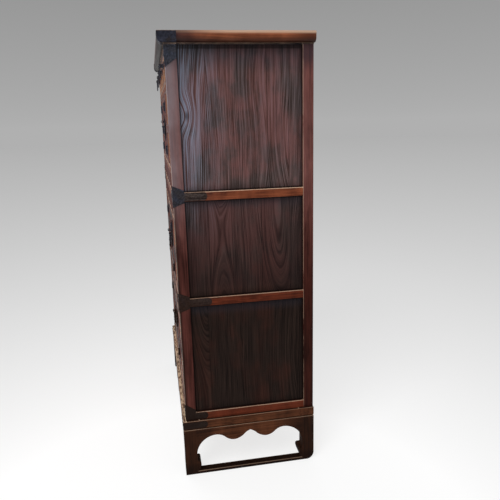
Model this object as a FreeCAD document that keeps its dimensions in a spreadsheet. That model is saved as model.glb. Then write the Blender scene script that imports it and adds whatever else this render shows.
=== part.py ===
import FreeCAD, Part
import os
import re

import Sketcher

# A three-tier clothes chest: a post and rail case with a row of small drawers and
# three pairs of doors, standing on a low stand with scalloped aprons.
# X runs across the width, the doors face -Y and Z is up. The origin lies on the
# floor, under the middle of the box round the whole chest. Sizes are millimetres.

SIZES = {
    # case: corner posts, rails and the clear heights between the rails
    "case_width": 984,
    "case_depth": 495,
    "post_width": 38,
    "post_round": 2.5,
    "rail_height": 30,
    "rail_depth": 30,
    "lower_tier_opening": 420,
    "middle_tier_opening": 350,
    "upper_tier_opening": 475,
    # top board and the thin neck frame under it
    "board_thickness": 35,
    "board_round": 17,
    "board_ease": 1.5,
    "front_overhang": 21,
    "side_overhang": 20,
    "rear_overhang": 3,
    "neck_height": 4,
    "neck_width": 40,
    "neck_step": 2,
    # panels and floors
    "side_panel_thickness": 12,
    "side_panel_recess": 8,
    "side_panel_tongue": 8,
    "back_panel_thickness": 8,
    "back_panel_recess": 6,
    "back_panel_tongue": 6,
    "back_rail_depth": 22,
    "floor_thickness": 12,
    "floor_housing": 6,
    # front framing
    "top_rail_height": 22,
    "thin_rail_height": 22,
    "muntin_width": 24,
    "row_panel_height": 62,
    "front_panel_thickness": 8,
    "front_panel_recess": 4,
    # doors
    "door_thickness": 20,
    "door_gap": 1.5,
    "meeting_gap": 2,
    "door_stile_width": 30,
    "door_panel_thickness": 8,
    "door_panel_recess": 4,
    "door_stop_height": 8,
    "stop_clearance": 0.3,
    # drawers and what carries them
    "drawer_opening_height": 92,
    "drawer_gap": 1.5,
    "drawer_front_thickness": 18,
    "drawer_back_room": 81,
    "drawer_side_thickness": 9,
    "drawer_side_height": 76,
    "drawer_back_height": 68,
    "drawer_bottom_thickness": 6,
    "drawer_clearance": 0.3,
    "deck_thickness": 10,
    "bearer_height": 20,
    "guide_height": 18,
    "drawer_stop_depth": 12,
    "drawer_stop_width": 60,
    # stand: moulded top frame, legs with hoof toes, aprons and floor stretchers
    "leg_height": 190,
    "leg_width": 46,
    "toe_reach": 14,
    "toe_bottom": 12,
    "toe_gap": 22,
    "heel_inset": 24,
    "heel_height": 34,
    "stand_front_step": 12,
    "stand_side_step": 10,
    "frame_height": 31,
    "frame_width": 60,
    "frame_round": 3,
    "groove_height": 5,
    "groove_depth": 4,
    "apron_thickness": 22,
    "spring_depth": 108,
    "spandrel_reach": 75,
    "lobe_depth": 31,
    "drop_depth": 60.5,
    "drop_offset": 61,
    "cusp_depth": 27,
    "stretcher_width": 30,
    "stretcher_height": 12,
    # iron straps round the front corners
    "strap_thickness": 1.2,
    "strap_reach": 117,
    "lower_strap_reach": 84,
    "frame_strap_reach": 92,
    "board_strap_reach": 62,
    "post_strap_drop": 70,
    "strap_rise": 24,
    "lower_strap_rise": 38,
    "strap_fall": 20,
    "strap_lobe": 9,
    "strap_margin": 1,
    # hinges
    "leaf_thickness": 1.2,
    "leaf_reach": 21,
    "leaf_root": 13,
    "leaf_tip": 22,
    "knuckle_radius": 3.2,
    "knuckle_half": 14,
    "door_barrel_half": 4.5,
    "hinge_pin_radius": 1.5,
    "hinge_bore_clearance": 0.06,
    "hinge_clearance": 0.3,
    "hinge_inset": 48,
    # lock plates, their staples and the door rings
    "lock_plate_radius": 52,
    "lock_plate_thickness": 1.2,
    "staple_offset": 7,
    "staple_rise": 26,
    "staple_thickness": 4,
    "staple_reach": 8,
    "staple_radius": 5.5,
    "staple_bore": 3.2,
    "ring_offset": 25,
    "ring_rise": 6,
    "ring_radius": 14,
    "ring_wire_radius": 2.2,
    "ring_play": 0.6,
    "ring_eye_thickness": 3,
    "ring_eye_reach": 5.5,
    "ring_eye_radius": 4.8,
    # drawer handles
    "bail_half_width": 32,
    "bail_drop": 40,
    "bail_wire_radius": 2.2,
    "bail_play": 0.1,
    "bail_end": 6,
    "bail_top_bend": 5,
    "bail_bottom_bend": 9,
    "bail_rise": 16,
    "bail_post_thickness": 7,
    "bail_post_reach": 12,
    "bail_post_radius": 4.4,
    "rosette_radius": 12,
    "rosette_thickness": 1.5,
}

DRAWERS_ACROSS = 4
PANELS_ACROSS = 8

# Places that follow from the sizes, each a formula in the names above it.
PLACES = {
    "case_side": "case_width / 2",
    "case_front": "(front_overhang + strap_thickness - case_depth - rear_overhang) / 2",
    "case_back": "case_front + case_depth",
    "inner_side": "case_side - post_width",
    "inner_front": "case_front + post_width",
    "inner_back": "case_back - post_width",
    "panel_side": "case_side - side_panel_recess - side_panel_thickness",
    "panel_back": "case_back - back_panel_recess - back_panel_thickness",
    "stand_front": "case_front - stand_front_step",
    "stand_side": "case_side + stand_side_step",
    "stand_middle": "(stand_front + case_back) / 2",
    "groove_top": "leg_height + groove_height",
    "stand_top": "groove_top + frame_height",
    "lower_floor": "stand_top + rail_height",
    "lower_top": "lower_floor + lower_tier_opening",
    "middle_floor": "lower_top + rail_height",
    "middle_top": "middle_floor + middle_tier_opening",
    "upper_floor": "middle_top + rail_height",
    "case_top": "upper_floor + upper_tier_opening",
    "board_bottom": "case_top + neck_height",
    "board_top": "board_bottom + board_thickness",
    "drawer_top": "case_top - top_rail_height",
    "drawer_floor": "drawer_top - drawer_opening_height",
    "row_step": "row_panel_height + thin_rail_height",
    "drawer_pitch": f"(2 * inner_side + muntin_width) / {DRAWERS_ACROSS}",
    "row_pitch": f"(2 * inner_side + muntin_width) / {PANELS_ACROSS}",
    "door_edge": "inner_side - drawer_pitch",
    "hinge_x": "door_edge - door_gap / 2",
    "hinge_y": "case_front - knuckle_radius - hinge_clearance",
    "drawer_length": "panel_back - case_front - drawer_back_room",
    "spring_level": "leg_height - spring_depth",
    "lobe_level": "leg_height - lobe_depth",
    "drop_level": "leg_height - drop_depth",
    "cusp_level": "leg_height - cusp_depth",
    "toe_height": "spring_level - toe_gap - toe_bottom",
    "leg_reach": "leg_width + toe_reach",
    "side_arch_half": "(case_depth + stand_front_step) / 2 - leg_width",
    "front_arch_half": "stand_side - leg_width",
    "motif_half": "side_arch_half - spandrel_reach",
}

# Forged iron has flats: eight round a bar, an eye, a rosette or a hinge barrel, twelve
# round a hinge pin and its bore, and a ring is beaten round in sixteen short facets.
FORGED_FLATS = 8
PIN_FLATS = 12
RING_FACETS = 16

# The chamfer that turns a square bar into one with eight even flats, as a share of half its side.
RIM_SHARE = 0.58579

# How far the flats of an eight-sided bar and of a twelve-sided pin lie from the middle, as
# shares of their corners.
FLAT_SHARE = 0.92388
PIN_FLAT_SHARE = 0.96593

# How far a quarter round's middle lies from each side of the corner that it takes
# away, as a share of its radius.
ROUND_SHARE = 0.29289

# How near an edge lies to a face to count as on it, as a share of the piece's height.
TOUCH_SHARE = 0.01

# Where the straps' shoulders lie, as shares of their drop and of their rise or fall.
STRAP_DROP_SHARE = 0.6
STRAP_SHOULDER_SHARE = 0.3

# Where the corners of a hinge leaf's pointed end lie, as a share of its reach, and the half
# height of an eye's neck, as a share of the eye's radius.
LEAF_TIP_SHARE = 0.88
EYE_NECK_SHARE = 0.7

# Each tier's floor, top, door zone and the bottoms of its rows of small panels.
TIERS = {
    "lower": {
        "floor": "lower_floor",
        "top": "lower_top",
        "door_bottom": "lower_floor + row_step",
        "door_top": "lower_top - row_step",
        "rows": ("lower_floor", "lower_top - row_panel_height"),
    },
    "middle": {
        "floor": "middle_floor",
        "top": "middle_top",
        "door_bottom": "middle_floor",
        "door_top": "middle_top - row_step",
        "rows": ("middle_top - row_panel_height",),
    },
    "upper": {
        "floor": "upper_floor",
        "top": "case_top",
        "door_bottom": "upper_floor + row_step",
        "door_top": "drawer_floor - thin_rail_height",
        "rows": ("upper_floor",),
    },
}

SIDES = {"left": -1, "right": 1}

# Where the arcs of a curved edge pass, as shares of the run from one corner to the next.
SPANDREL_SHARES = (0.29, 0.70)
LOBE_OUT_SHARES = (0.54, 0.26)
LOBE_IN_SHARES = (0.46, 0.74)
HALF_WAY_SHARES = (0.5, 0.5)
INFLECTION_SHARES = (0.66, 0.63)
CUSP_FOOT_SHARES = (0.535, 0.30)
CUSP_TIP_SHARES = (0.47, 0.58)
HEEL_SHARES = (0.75, 0.35)

# The corners of a forged bar's section, as shares of its radius, and of a quarter turn
# hammered in three facets, as shares of its own run.
OCTAGON_SHARES = (
    (1.0, 0.0),
    (0.7071, 0.7071),
    (0.0, 1.0),
    (-0.7071, 0.7071),
    (-1.0, 0.0),
    (-0.7071, -0.7071),
    (0.0, -1.0),
    (0.7071, -0.7071),
)
BEND_SHARES = ((0.5, 0.134), (0.866, 0.5))

# The hoof toe from top to bottom: shares of its reach and height at each corner of
# its outline, and between them at the points that its arcs pass through.
TOE_SHARES = ((0.0, 1.0), (0.12, 0.90), (0.55, 0.82), (1.0, 0.62), (0.86, 0.34), (0.62, 0.12), (0.0, 0.0))

WORDS = re.compile(r"[a-z_][a-z0-9_]*")

doc = FreeCAD.newDocument("Chest")
sheet = doc.addObject("Spreadsheet::Sheet", "Sizes")
places = doc.addObject("App::VarSet", "Places")
nodes = []


def linked(formula):
    """Turn the plain names in a formula into links to the sheet and the worked-out places."""

    def link(match):
        name = match.group(0)
        if name in SIZES:
            return "Sizes." + name
        if name in PLACES:
            return "Places." + name
        return name

    return WORDS.sub(link, str(formula))


def value(formula):
    """What a formula comes to now, in millimetres."""
    return float(places.evalExpression(linked(formula)))


def fill_sheet():
    """Write the driving sizes into the sheet and tie the places to them."""
    for row, (name, number) in enumerate(SIZES.items(), 1):
        sheet.set(f"A{row}", name)
        sheet.set(f"B{row}", str(number))
        sheet.setAlias(f"B{row}", name)
    doc.recompute()
    for name, formula in PLACES.items():
        places.addProperty("App::PropertyFloat", name)
        places.setExpression(name, linked(formula))
    doc.recompute()


def place(piece, corner):
    """Tie a piece's position to three formulas."""
    for axis, formula in zip("xyz", corner):
        piece.setExpression(f"Placement.Base.{axis}", linked(formula))


def block(name, x, y, z):
    """A square-cut piece between a low and a high formula on each axis."""
    box = doc.addObject("Part::Box", name)
    for side, (low, high) in zip(("Length", "Width", "Height"), (x, y, z)):
        box.setExpression(side, linked(f"({high}) - ({low})"))
    place(box, (x[0], y[0], z[0]))
    return box


def prism(name, sides, radius, length, start, turn=None):
    """A forged bar with flats, its size given at the corners of its section."""
    bar = doc.addObject("Part::Prism", name)
    bar.Polygon = sides
    bar.setExpression("Circumradius", linked(radius))
    bar.setExpression("Height", linked(length))
    if turn:
        bar.Placement = FreeCAD.Placement(FreeCAD.Vector(), turn)
    place(bar, start)
    return bar


ALONG_X = FreeCAD.Rotation(FreeCAD.Vector(0, 1, 0), 90)
TOWARDS_FRONT = FreeCAD.Rotation(FreeCAD.Vector(1, 0, 0), 90)


def mirrored(side, span):
    """A span of two formulas from the middle outwards, on the right or on the left."""
    low, high = span
    return span if side > 0 else (f"-({high})", f"-({low})")


def gather(name, parts):
    """Several pieces as one object."""
    group = doc.addObject("Part::Compound", name)
    group.Links = list(parts)
    return group


def fused(name, parts):
    """Several shapes joined into one solid."""
    joined = doc.addObject("Part::MultiFuse", name)
    joined.Shapes = list(parts)
    joined.Refine = True
    return joined


def cut(name, base, tool):
    """A piece with the room that another takes cut out of it."""
    result = doc.addObject("Part::Cut", name)
    result.Base = base
    result.Tool = tool
    result.Refine = True
    return result


def common(name, first, second):
    """What two shapes share."""
    result = doc.addObject("Part::Common", name)
    result.Base = first
    result.Tool = second
    result.Refine = True
    return result


def mirror_image(name, source):
    """The same piece on the other side of the middle plane."""
    image = doc.addObject("Part::Mirroring", name)
    image.Source = source
    image.Normal = FreeCAD.Vector(1, 0, 0)
    return image


def node(label, piece):
    """Hand a finished sub-part in under its name."""
    piece.Label = label
    nodes.append(piece)
    return piece


def vector(point):
    """A point of a sketch as it lies now."""
    return FreeCAD.Vector(value(point[0]), value(point[1]), 0)


def between(start, end, shares):
    """The point at the given shares of the way from one point to another."""
    return tuple(f"({a}) + {share} * (({b}) - ({a}))" for a, b, share in zip(start, end, shares))


def pin(sketch, piece, end, point):
    """Hold one point of a sketch at its two formulas."""
    for kind, formula in zip(("DistanceX", "DistanceY"), point):
        hold = Sketcher.Constraint(kind, -1, 1, piece, end, value(formula))
        index = sketch.addConstraint(hold)
        sketch.setExpression(f"Constraints[{index}]", linked(formula))


def add_run(sketch, start, step):
    """Draw one stretch of an outline: straight, or an arc through a point on the way."""
    here = vector(start)
    there = vector(step[-2:])
    if len(step) == 2:
        piece = sketch.addGeometry(Part.LineSegment(here, there))
    else:
        through = step[:2]
        piece = sketch.addGeometry(Part.Arc(here, vector(through), there))
        mark = sketch.addGeometry(Part.Point(vector(through)), True)
        sketch.addConstraint(Sketcher.Constraint("PointOnObject", mark, 1, piece))
        pin(sketch, mark, 1, through)
    first_gap, last_gap = (sketch.getPoint(piece, end).distanceToPoint(here) for end in (1, 2))
    return (piece, 1, 2) if first_gap < last_gap else (piece, 2, 1)


def new_sketch(body, name, plane):
    """An empty sketch on one of the body's own planes."""
    sketch = body.newObject("Sketcher::SketchObject", name)
    support = [item for item in body.Origin.OriginFeatures if item.Role == plane][0]
    sketch.AttachmentSupport = [(support, "")]
    sketch.MapMode = "FlatFace"
    return sketch


def draw(sketch, start, steps, closed=True):
    """Draw an outline from its start through its steps, every corner held by formulas."""
    runs = []
    here = start
    for step in steps:
        runs.append(add_run(sketch, here, step))
        pin(sketch, runs[-1][0], runs[-1][1], here)
        here = step[-2:]
    for (piece, _, end), (following, begin, _) in zip(runs, runs[1:]):
        sketch.addConstraint(Sketcher.Constraint("Coincident", piece, end, following, begin))
    last, first = runs[-1], runs[0]
    if closed:
        sketch.addConstraint(Sketcher.Constraint("Coincident", last[0], last[2], first[0], first[1]))
    else:
        pin(sketch, last[0], last[2], here)


def plate(name, plane, start, steps, thickness, corner):
    """A piece of one thickness, cut to an outline on one of the body's planes."""
    body = doc.addObject("PartDesign::Body", name)
    sketch = new_sketch(body, name + "_outline", plane)
    draw(sketch, start, steps)
    pad = body.newObject("PartDesign::Pad", name + "_pad")
    pad.Profile = sketch
    pad.setExpression("Length", linked(thickness))
    sketch.Visibility = False
    place(body, corner)
    return body


def rectangle(x, y):
    """The start and the steps of a rectangle between two spans."""
    steps = ((x[1], y[0]), (x[1], y[1]), (x[0], y[1]), (x[0], y[0]))
    return (x[0], y[0]), steps


def edges_where(shape, test):
    """The names of the edges whose middle point passes a test."""
    names = []
    for index, edge in enumerate(shape.Edges, 1):
        box = edge.BoundBox
        if test(box):
            names.append(f"Edge{index}")
    return names


def board_body(name, growth):
    """The top board: a slab with its lower front and side edges rounded to a quarter
    circle, grown by a thickness where it serves to shape the iron that wraps it."""
    body = doc.addObject("PartDesign::Body", name)
    sketch = new_sketch(body, name + "_outline", "XY_Plane")
    half = f"case_side + side_overhang + {growth}"
    span = (f"-front_overhang - {growth}", "case_depth + rear_overhang")
    draw(sketch, *rectangle((f"-({half})", half), span))
    pad = body.newObject("PartDesign::Pad", name + "_pad")
    pad.Profile = sketch
    pad.setExpression("Length", linked(f"board_thickness + {growth}"))
    place(body, ("0", "case_front", f"board_bottom - {growth}"))
    doc.recompute()

    rear = value("case_depth + rear_overhang")
    bottom = pad.Shape.BoundBox.ZMin
    touch = pad.Shape.BoundBox.ZLength * TOUCH_SHARE
    low = edges_where(pad.Shape, lambda box: box.ZMax < bottom + touch and box.YMin < rear - touch)
    round_under = body.newObject("PartDesign::Fillet", name + "_round")
    round_under.Base = (pad, low)
    round_under.setExpression("Radius", linked(f"board_round + {growth}"))
    doc.recompute()
    return body


def make_top_board():
    """The board itself, with the upper edges that show just eased."""
    board = board_body("top_board_body", "0")
    rounded = board.Tip
    top = rounded.Shape.BoundBox.ZMax
    touch = rounded.Shape.BoundBox.ZLength * TOUCH_SHARE
    high = edges_where(rounded.Shape, lambda box: box.ZMin > top - touch)
    ease = board.newObject("PartDesign::Fillet", "top_board_ease")
    ease.Base = (rounded, high)
    ease.setExpression("Radius", linked("board_ease"))
    return node("top_board", board)


def make_neck_frame():
    """The thin frame between the case and the board, a step proud of the posts."""
    outer = "case_side + neck_step"
    front = "case_front - neck_step"
    inner = f"{outer} - neck_width"
    z = ("case_top", "board_bottom")
    y_front = (front, f"{front} + neck_width")
    y_back = ("case_back - neck_width", "case_back")
    across = (f"-({outer})", outer)
    strips = [block("neck_front", across, y_front, z), block("neck_back", across, y_back, z)]
    for name, side in SIDES.items():
        x = mirrored(side, (inner, outer))
        strips.append(block(f"neck_{name}", x, (y_front[1], y_back[0]), z))
    node("neck_frame", gather("neck_frame_group", strips))


def post(name, side, row):
    """One corner post, its outer corner rounded over a little."""
    x_in, y_in = -side, -row
    ease = f"{ROUND_SHARE} * post_round"
    start = (f"{x_in} * post_round", "0")
    steps = (
        (f"{x_in} * post_width", "0"),
        (f"{x_in} * post_width", f"{y_in} * post_width"),
        ("0", f"{y_in} * post_width"),
        ("0", f"{y_in} * post_round"),
        (f"{x_in} * {ease}", f"{y_in} * {ease}", *start),
    )
    y = "case_front" if row < 0 else "case_back"
    corner = (f"{side} * case_side", y, "stand_top")
    return plate(name, "XY_Plane", start, steps, "case_top - stand_top", corner)


def make_side_panels():
    """Three boards on each side, set back from the frame with a tongue all round."""
    boards = []
    y = ("inner_front - side_panel_tongue", "inner_back + side_panel_tongue")
    for name, side in SIDES.items():
        x = mirrored(side, ("panel_side", "panel_side + side_panel_thickness"))
        for tier, zone in TIERS.items():
            high = "case_top" if tier == "upper" else f"{zone['top']} + side_panel_tongue"
            z = (f"{zone['floor']} - side_panel_tongue", high)
            boards.append(block(f"{tier}_{name}_side_board", x, y, z))
    return node("side_panels", gather("side_panel_group", boards))


def make_back_panels():
    """Three boards that close the back, held by tongues in the posts and back rails."""
    boards = []
    half = "inner_side + back_panel_tongue"
    y = ("panel_back", "panel_back + back_panel_thickness")
    for tier, zone in TIERS.items():
        top = "case_top - rail_height" if tier == "upper" else zone["top"]
        z = (f"{zone['floor']} - back_panel_tongue", f"{top} + back_panel_tongue")
        boards.append(block(f"{tier}_back_board", (f"-({half})", half), y, z))
    return node("back_panels", gather("back_panel_group", boards))


def make_case():
    """Posts, rails, panels and floors. What is let into a frame member cuts its own
    groove, so tongues and housings always fit."""
    side_panels = make_side_panels()
    back_panels = make_back_panels()

    posts = []
    for name, side in SIDES.items():
        posts.append(post(f"front_{name}_post", side, -1))
        posts.append(post(f"back_{name}_post", side, 1))
    raw_posts = gather("raw_posts", posts)
    panels = gather("case_panels", (side_panels, back_panels))
    node("corner_posts", cut("grooved_posts", raw_posts, panels))

    floors = []
    y = ("case_front + rail_depth - floor_housing", "panel_back")
    for tier, zone in TIERS.items():
        z = (f"{zone['floor']} - floor_thickness", zone["floor"])
        floors.append(block(f"{tier}_floor_board", ("-panel_side", "panel_side"), y, z))
    tier_floors = node("tier_floors", cut("notched_floors", gather("raw_floors", floors), raw_posts))

    rails = []
    y = ("inner_front", "inner_back")
    for name, side in SIDES.items():
        x = mirrored(side, ("case_side - rail_depth", "case_side"))
        for tier, zone in TIERS.items():
            z = (f"{zone['floor']} - rail_height", zone["floor"])
            rails.append(block(f"{tier}_{name}_side_rail", x, y, z))
    held = gather("held_in_sides", (side_panels, tier_floors))
    grooved = cut("grooved_side_rails", gather("raw_side_rails", rails), held)
    battens = []
    for name, side in SIDES.items():
        x = mirrored(side, ("inner_side", "panel_side"))
        battens.append(block(f"{name}_top_batten", x, y, ("case_top - top_rail_height", "case_top")))
    node("side_rails", gather("side_rail_group", [grooved] + battens))

    rails = []
    x = ("-inner_side", "inner_side")
    y = ("case_back - back_rail_depth", "case_back")
    for tier, zone in TIERS.items():
        rails.append(block(f"{tier}_back_rail", x, y, (f"{zone['floor']} - rail_height", zone["floor"])))
    rails.append(block("top_back_rail", x, y, ("case_top - rail_height", "case_top")))
    held = gather("held_in_back", (back_panels, tier_floors))
    node("back_rails", cut("grooved_back_rails", gather("raw_back_rails", rails), held))
    return raw_posts, tier_floors


def make_drawer_deck(raw_posts):
    """The board that the drawers run on, with its bearers and the guides beside them."""
    y = ("case_front + rail_depth - floor_housing", "panel_back")
    z = ("drawer_floor - deck_thickness", "drawer_floor")
    board = block("deck_board", ("-panel_side", "panel_side"), y, z)
    deck = cut("notched_deck", board, raw_posts)
    parts = [deck]
    y = ("inner_front", "inner_back")
    under = ("drawer_floor - deck_thickness - bearer_height", "drawer_floor - deck_thickness")
    above = ("drawer_floor", "drawer_floor + guide_height")
    for name, side in SIDES.items():
        x = mirrored(side, ("inner_side", "panel_side"))
        parts.append(block(f"{name}_bearer", x, y, under))
        parts.append(block(f"{name}_guide", x, y, above))
    y = ("case_front + rail_depth", "panel_back")
    for index in range(1, DRAWERS_ACROSS):
        x = divider_span(index)
        parts.append(block(f"guide_{index}", x, y, above))
    node("drawer_deck", gather("drawer_deck_group", parts))
    return deck


def divider_span(index):
    """How far the divider after a drawer reaches in X."""
    high = f"{index} * drawer_pitch - inner_side"
    return (f"{high} - muntin_width", high)


def make_front(tier_floors, deck):
    """Rails, stiles, muntins and fixed panels of the front."""
    x = ("-inner_side", "inner_side")
    y = ("case_front", "case_front + rail_depth")
    rails = [block("front_top_rail", x, y, ("drawer_top", "case_top"))]
    for tier, zone in TIERS.items():
        floor, low, high = zone["floor"], zone["door_bottom"], zone["door_top"]
        rails.append(block(f"{tier}_front_rail", x, y, (f"{floor} - rail_height", floor)))
        rails.append(block(f"{tier}_rail_over_doors", x, y, (high, f"{high} + thin_rail_height")))
        if low != floor:
            rails.append(block(f"{tier}_rail_under_doors", x, y, (f"{low} - thin_rail_height", low)))
    held = gather("held_in_front", (tier_floors, deck))
    node("front_rails", cut("grooved_front_rails", gather("raw_front_rails", rails), held))

    stiles = []
    for tier, zone in TIERS.items():
        for name, side in SIDES.items():
            span = mirrored(side, ("door_edge", "door_edge + muntin_width"))
            stiles.append(block(f"{tier}_{name}_stile", span, y, (zone["door_bottom"], zone["door_top"])))
    z = ("drawer_floor", "drawer_top")
    for index in range(1, DRAWERS_ACROSS):
        stiles.append(block(f"drawer_divider_{index}", divider_span(index), y, z))
    node("front_stiles", gather("front_stile_group", stiles))

    muntins = []
    panels = []
    face = "case_front + front_panel_recess"
    y_panel = (face, f"{face} + front_panel_thickness")
    for tier, zone in TIERS.items():
        for row, bottom in enumerate(zone["rows"]):
            z = (bottom, f"{bottom} + row_panel_height")
            for index in range(PANELS_ACROSS):
                low = f"{index} * row_pitch - inner_side"
                high = f"{index + 1} * row_pitch - inner_side"
                label = f"{tier}_row_{row}_{index}"
                panels.append(block(f"{label}_panel", (low, f"{high} - muntin_width"), y_panel, z))
                if index < PANELS_ACROSS - 1:
                    muntins.append(block(f"{label}_muntin", (f"{high} - muntin_width", high), y, z))
        low, high = zone["door_bottom"], zone["door_top"]
        middle = f"(({low}) + ({high})) / 2"
        bar = (f"{middle} - thin_rail_height / 2", f"{middle} + thin_rail_height / 2")
        for name, side in SIDES.items():
            span = mirrored(side, ("door_edge + muntin_width", "inner_side"))
            muntins.append(block(f"{tier}_{name}_column_bar", span, y, bar))
            panels.append(block(f"{tier}_{name}_low_column", span, y_panel, (low, bar[0])))
            panels.append(block(f"{tier}_{name}_high_column", span, y_panel, (bar[1], high)))
    node("front_muntins", gather("front_muntin_group", muntins))
    node("front_panels", gather("front_panel_group", panels))


def make_stop_strips():
    """A strip behind the top of each pair of doors and a block behind each drawer."""
    strips = []
    y = ("case_front + door_thickness + stop_clearance", "case_front + rail_depth")
    for tier, zone in TIERS.items():
        z = (f"{zone['door_top']} - door_stop_height", zone["door_top"])
        strips.append(block(f"{tier}_door_stop", ("-door_edge", "door_edge"), y, z))
    low = "case_front + drawer_length + stop_clearance"
    for index in range(DRAWERS_ACROSS):
        middle = drawer_middle(index)
        x = (f"{middle} - drawer_stop_width / 2", f"{middle} + drawer_stop_width / 2")
        z = ("drawer_floor", "drawer_floor + guide_height")
        strips.append(block(f"drawer_stop_{index + 1}", x, (low, f"{low} + drawer_stop_depth"), z))
    node("stop_strips", gather("stop_strip_group", strips))


def make_stand_frame():
    """The frame that the case stands on: four moulded members with a groove under them."""
    body = doc.addObject("PartDesign::Body", "stand_ring")
    place(body, ("0", "stand_front", "groove_top"))
    depth = "case_back - stand_front"
    sketch = new_sketch(body, "stand_ring_outline", "XY_Plane")
    draw(sketch, *rectangle(("-stand_side", "stand_side"), ("0", depth)))
    pad = body.newObject("PartDesign::Pad", "stand_ring_pad")
    pad.Profile = sketch
    pad.setExpression("Length", linked("frame_height"))
    sketch = new_sketch(body, "stand_neck_outline", "XY_Plane")
    inset = ("-stand_side + groove_depth", "stand_side - groove_depth")
    draw(sketch, *rectangle(inset, ("groove_depth", f"{depth} - groove_depth")))
    neck = body.newObject("PartDesign::Pad", "stand_neck_pad")
    neck.Profile = sketch
    neck.Reversed = True
    neck.setExpression("Length", linked("groove_height"))
    doc.recompute()
    top = neck.Shape.BoundBox.ZMax
    touch = neck.Shape.BoundBox.ZLength * TOUCH_SHARE
    rear = value(depth)
    ledge = edges_where(neck.Shape, lambda box: box.ZMin > top - touch and box.YMin < rear - touch)
    ease = body.newObject("PartDesign::Fillet", "stand_ledge_round")
    ease.Base = (neck, ledge)
    ease.setExpression("Radius", linked("frame_round"))
    sketch = new_sketch(body, "stand_well_outline", "XY_Plane")
    well = ("-stand_side + frame_width", "stand_side - frame_width")
    draw(sketch, *rectangle(well, ("frame_width", f"{depth} - frame_width")))
    pocket = body.newObject("PartDesign::Pocket", "stand_well")
    pocket.Profile = sketch
    pocket.Type = "ThroughAll"
    pocket.Midplane = True

    members = []
    across = ("-stand_side", "stand_side")
    z = ("leg_height", "stand_top")
    front = ("stand_front", "stand_front + frame_width")
    back = ("case_back - frame_width", "case_back")
    members.append(common("stand_front_member", body, block("front_member_room", across, front, z)))
    members.append(common("stand_back_member", body, block("back_member_room", across, back, z)))
    for name, side in SIDES.items():
        x = mirrored(side, ("stand_side - frame_width", "stand_side"))
        room = block(f"{name}_member_room", x, (front[1], back[0]), z)
        members.append(common(f"stand_{name}_member", body, room))
    node("stand_frame", gather("stand_frame_group", members))


def leg_outline(inward, heel):
    """A leg seen from one side: straight outside, a hoof toe inside near the floor."""

    def toe(shares):
        return (f"{inward} * (leg_width + {shares[0]} * toe_reach)", f"toe_bottom + {shares[1]} * toe_height")

    start = (f"{inward} * heel_inset", "0") if heel else ("0", "0")
    steps = [(f"{inward} * leg_width", "0"), toe(TOE_SHARES[-1])]
    climb = TOE_SHARES[::-1]
    for through, corner in zip(climb[1::2], climb[2::2]):
        steps.append(toe(through) + toe(corner))
    steps.append((f"{inward} * leg_width", "leg_height"))
    steps.append(("0", "leg_height"))
    if heel:
        shoulder = ("0", "heel_height")
        steps.append(shoulder)
        steps.append(between(start, shoulder, HEEL_SHARES) + start)
    else:
        steps.append(start)
    return start, steps


def make_stand_legs():
    """Four legs, each the common form of a side view and a front view."""
    legs = []
    for name, side in SIDES.items():
        for place_name, row in (("front", -1), ("back", 1)):
            outer_x = f"{side} * stand_side"
            outer_y = "stand_front" if row < 0 else "case_back"
            label = f"{place_name}_{name}_leg"
            start, steps = leg_outline(-row, heel=row > 0)
            corner = ("stand_side - leg_reach" if side > 0 else "-stand_side", outer_y, "0")
            side_view = plate(label + "_side", "YZ_Plane", start, steps, "leg_reach", corner)
            start, steps = leg_outline(-side, heel=False)
            corner = (outer_x, "stand_front + leg_reach" if row < 0 else "case_back", "0")
            front_view = plate(label + "_front", "XZ_Plane", start, steps, "leg_reach", corner)
            legs.append(common(label, side_view, front_view))
    node("stand_legs", gather("stand_leg_group", legs))


def apron_outline(half, flat):
    """A scalloped apron: a spandrel at each leg, a lobe, a drop and a cusp in the middle."""
    spring = (f"-({half})", "spring_level")
    lobe = (f"-({half}) + spandrel_reach", "lobe_level")
    crown = ("-motif_half", "lobe_level")
    drop = ("-drop_offset", "drop_level")
    cusp = ("0", "cusp_level")
    turn = between(crown, drop, HALF_WAY_SHARES)
    rise = between(drop, cusp, INFLECTION_SHARES)
    path = [spring, between(spring, lobe, SPANDREL_SHARES), lobe]
    if flat:
        path += [None, crown]
    path += [between(crown, turn, LOBE_OUT_SHARES), turn, between(turn, drop, LOBE_IN_SHARES), drop]
    path += [between(drop, rise, CUSP_FOOT_SHARES), rise, between(rise, cusp, CUSP_TIP_SHARES), cusp]
    path += [point and (f"-({point[0]})", point[1]) for point in path[-2::-1]]

    start = (f"-({half})", "leg_height")
    steps = [spring]
    for through, corner in zip(path[1::2], path[2::2]):
        steps.append(corner if through is None else through + corner)
    steps += [(half, "leg_height"), start]
    return start, steps


def make_stand_aprons():
    """The four aprons between the legs, flush with their outer faces."""
    aprons = []
    start, steps = apron_outline("side_arch_half", flat=False)
    for name, side in SIDES.items():
        low = "stand_side - apron_thickness" if side > 0 else "-stand_side"
        corner = (low, "stand_middle", "0")
        aprons.append(plate(f"{name}_apron", "YZ_Plane", start, steps, "apron_thickness", corner))
    start, steps = apron_outline("front_arch_half", flat=True)
    for name, high in (("front", "stand_front + apron_thickness"), ("back", "case_back")):
        aprons.append(plate(f"{name}_apron", "XZ_Plane", start, steps, "apron_thickness", ("0", high, "0")))
    node("stand_aprons", gather("stand_apron_group", aprons))


def make_stretchers():
    """A flat bar on the floor between the feet at each side."""
    bars = []
    y = ("stand_front + leg_width", "case_back - leg_width")
    for name, side in SIDES.items():
        x = mirrored(side, ("stand_side - stretcher_width", "stand_side"))
        bars.append(block(f"{name}_stretcher", x, y, ("0", "stretcher_height")))
    node("stand_stretchers", gather("stretcher_group", bars))


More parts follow.
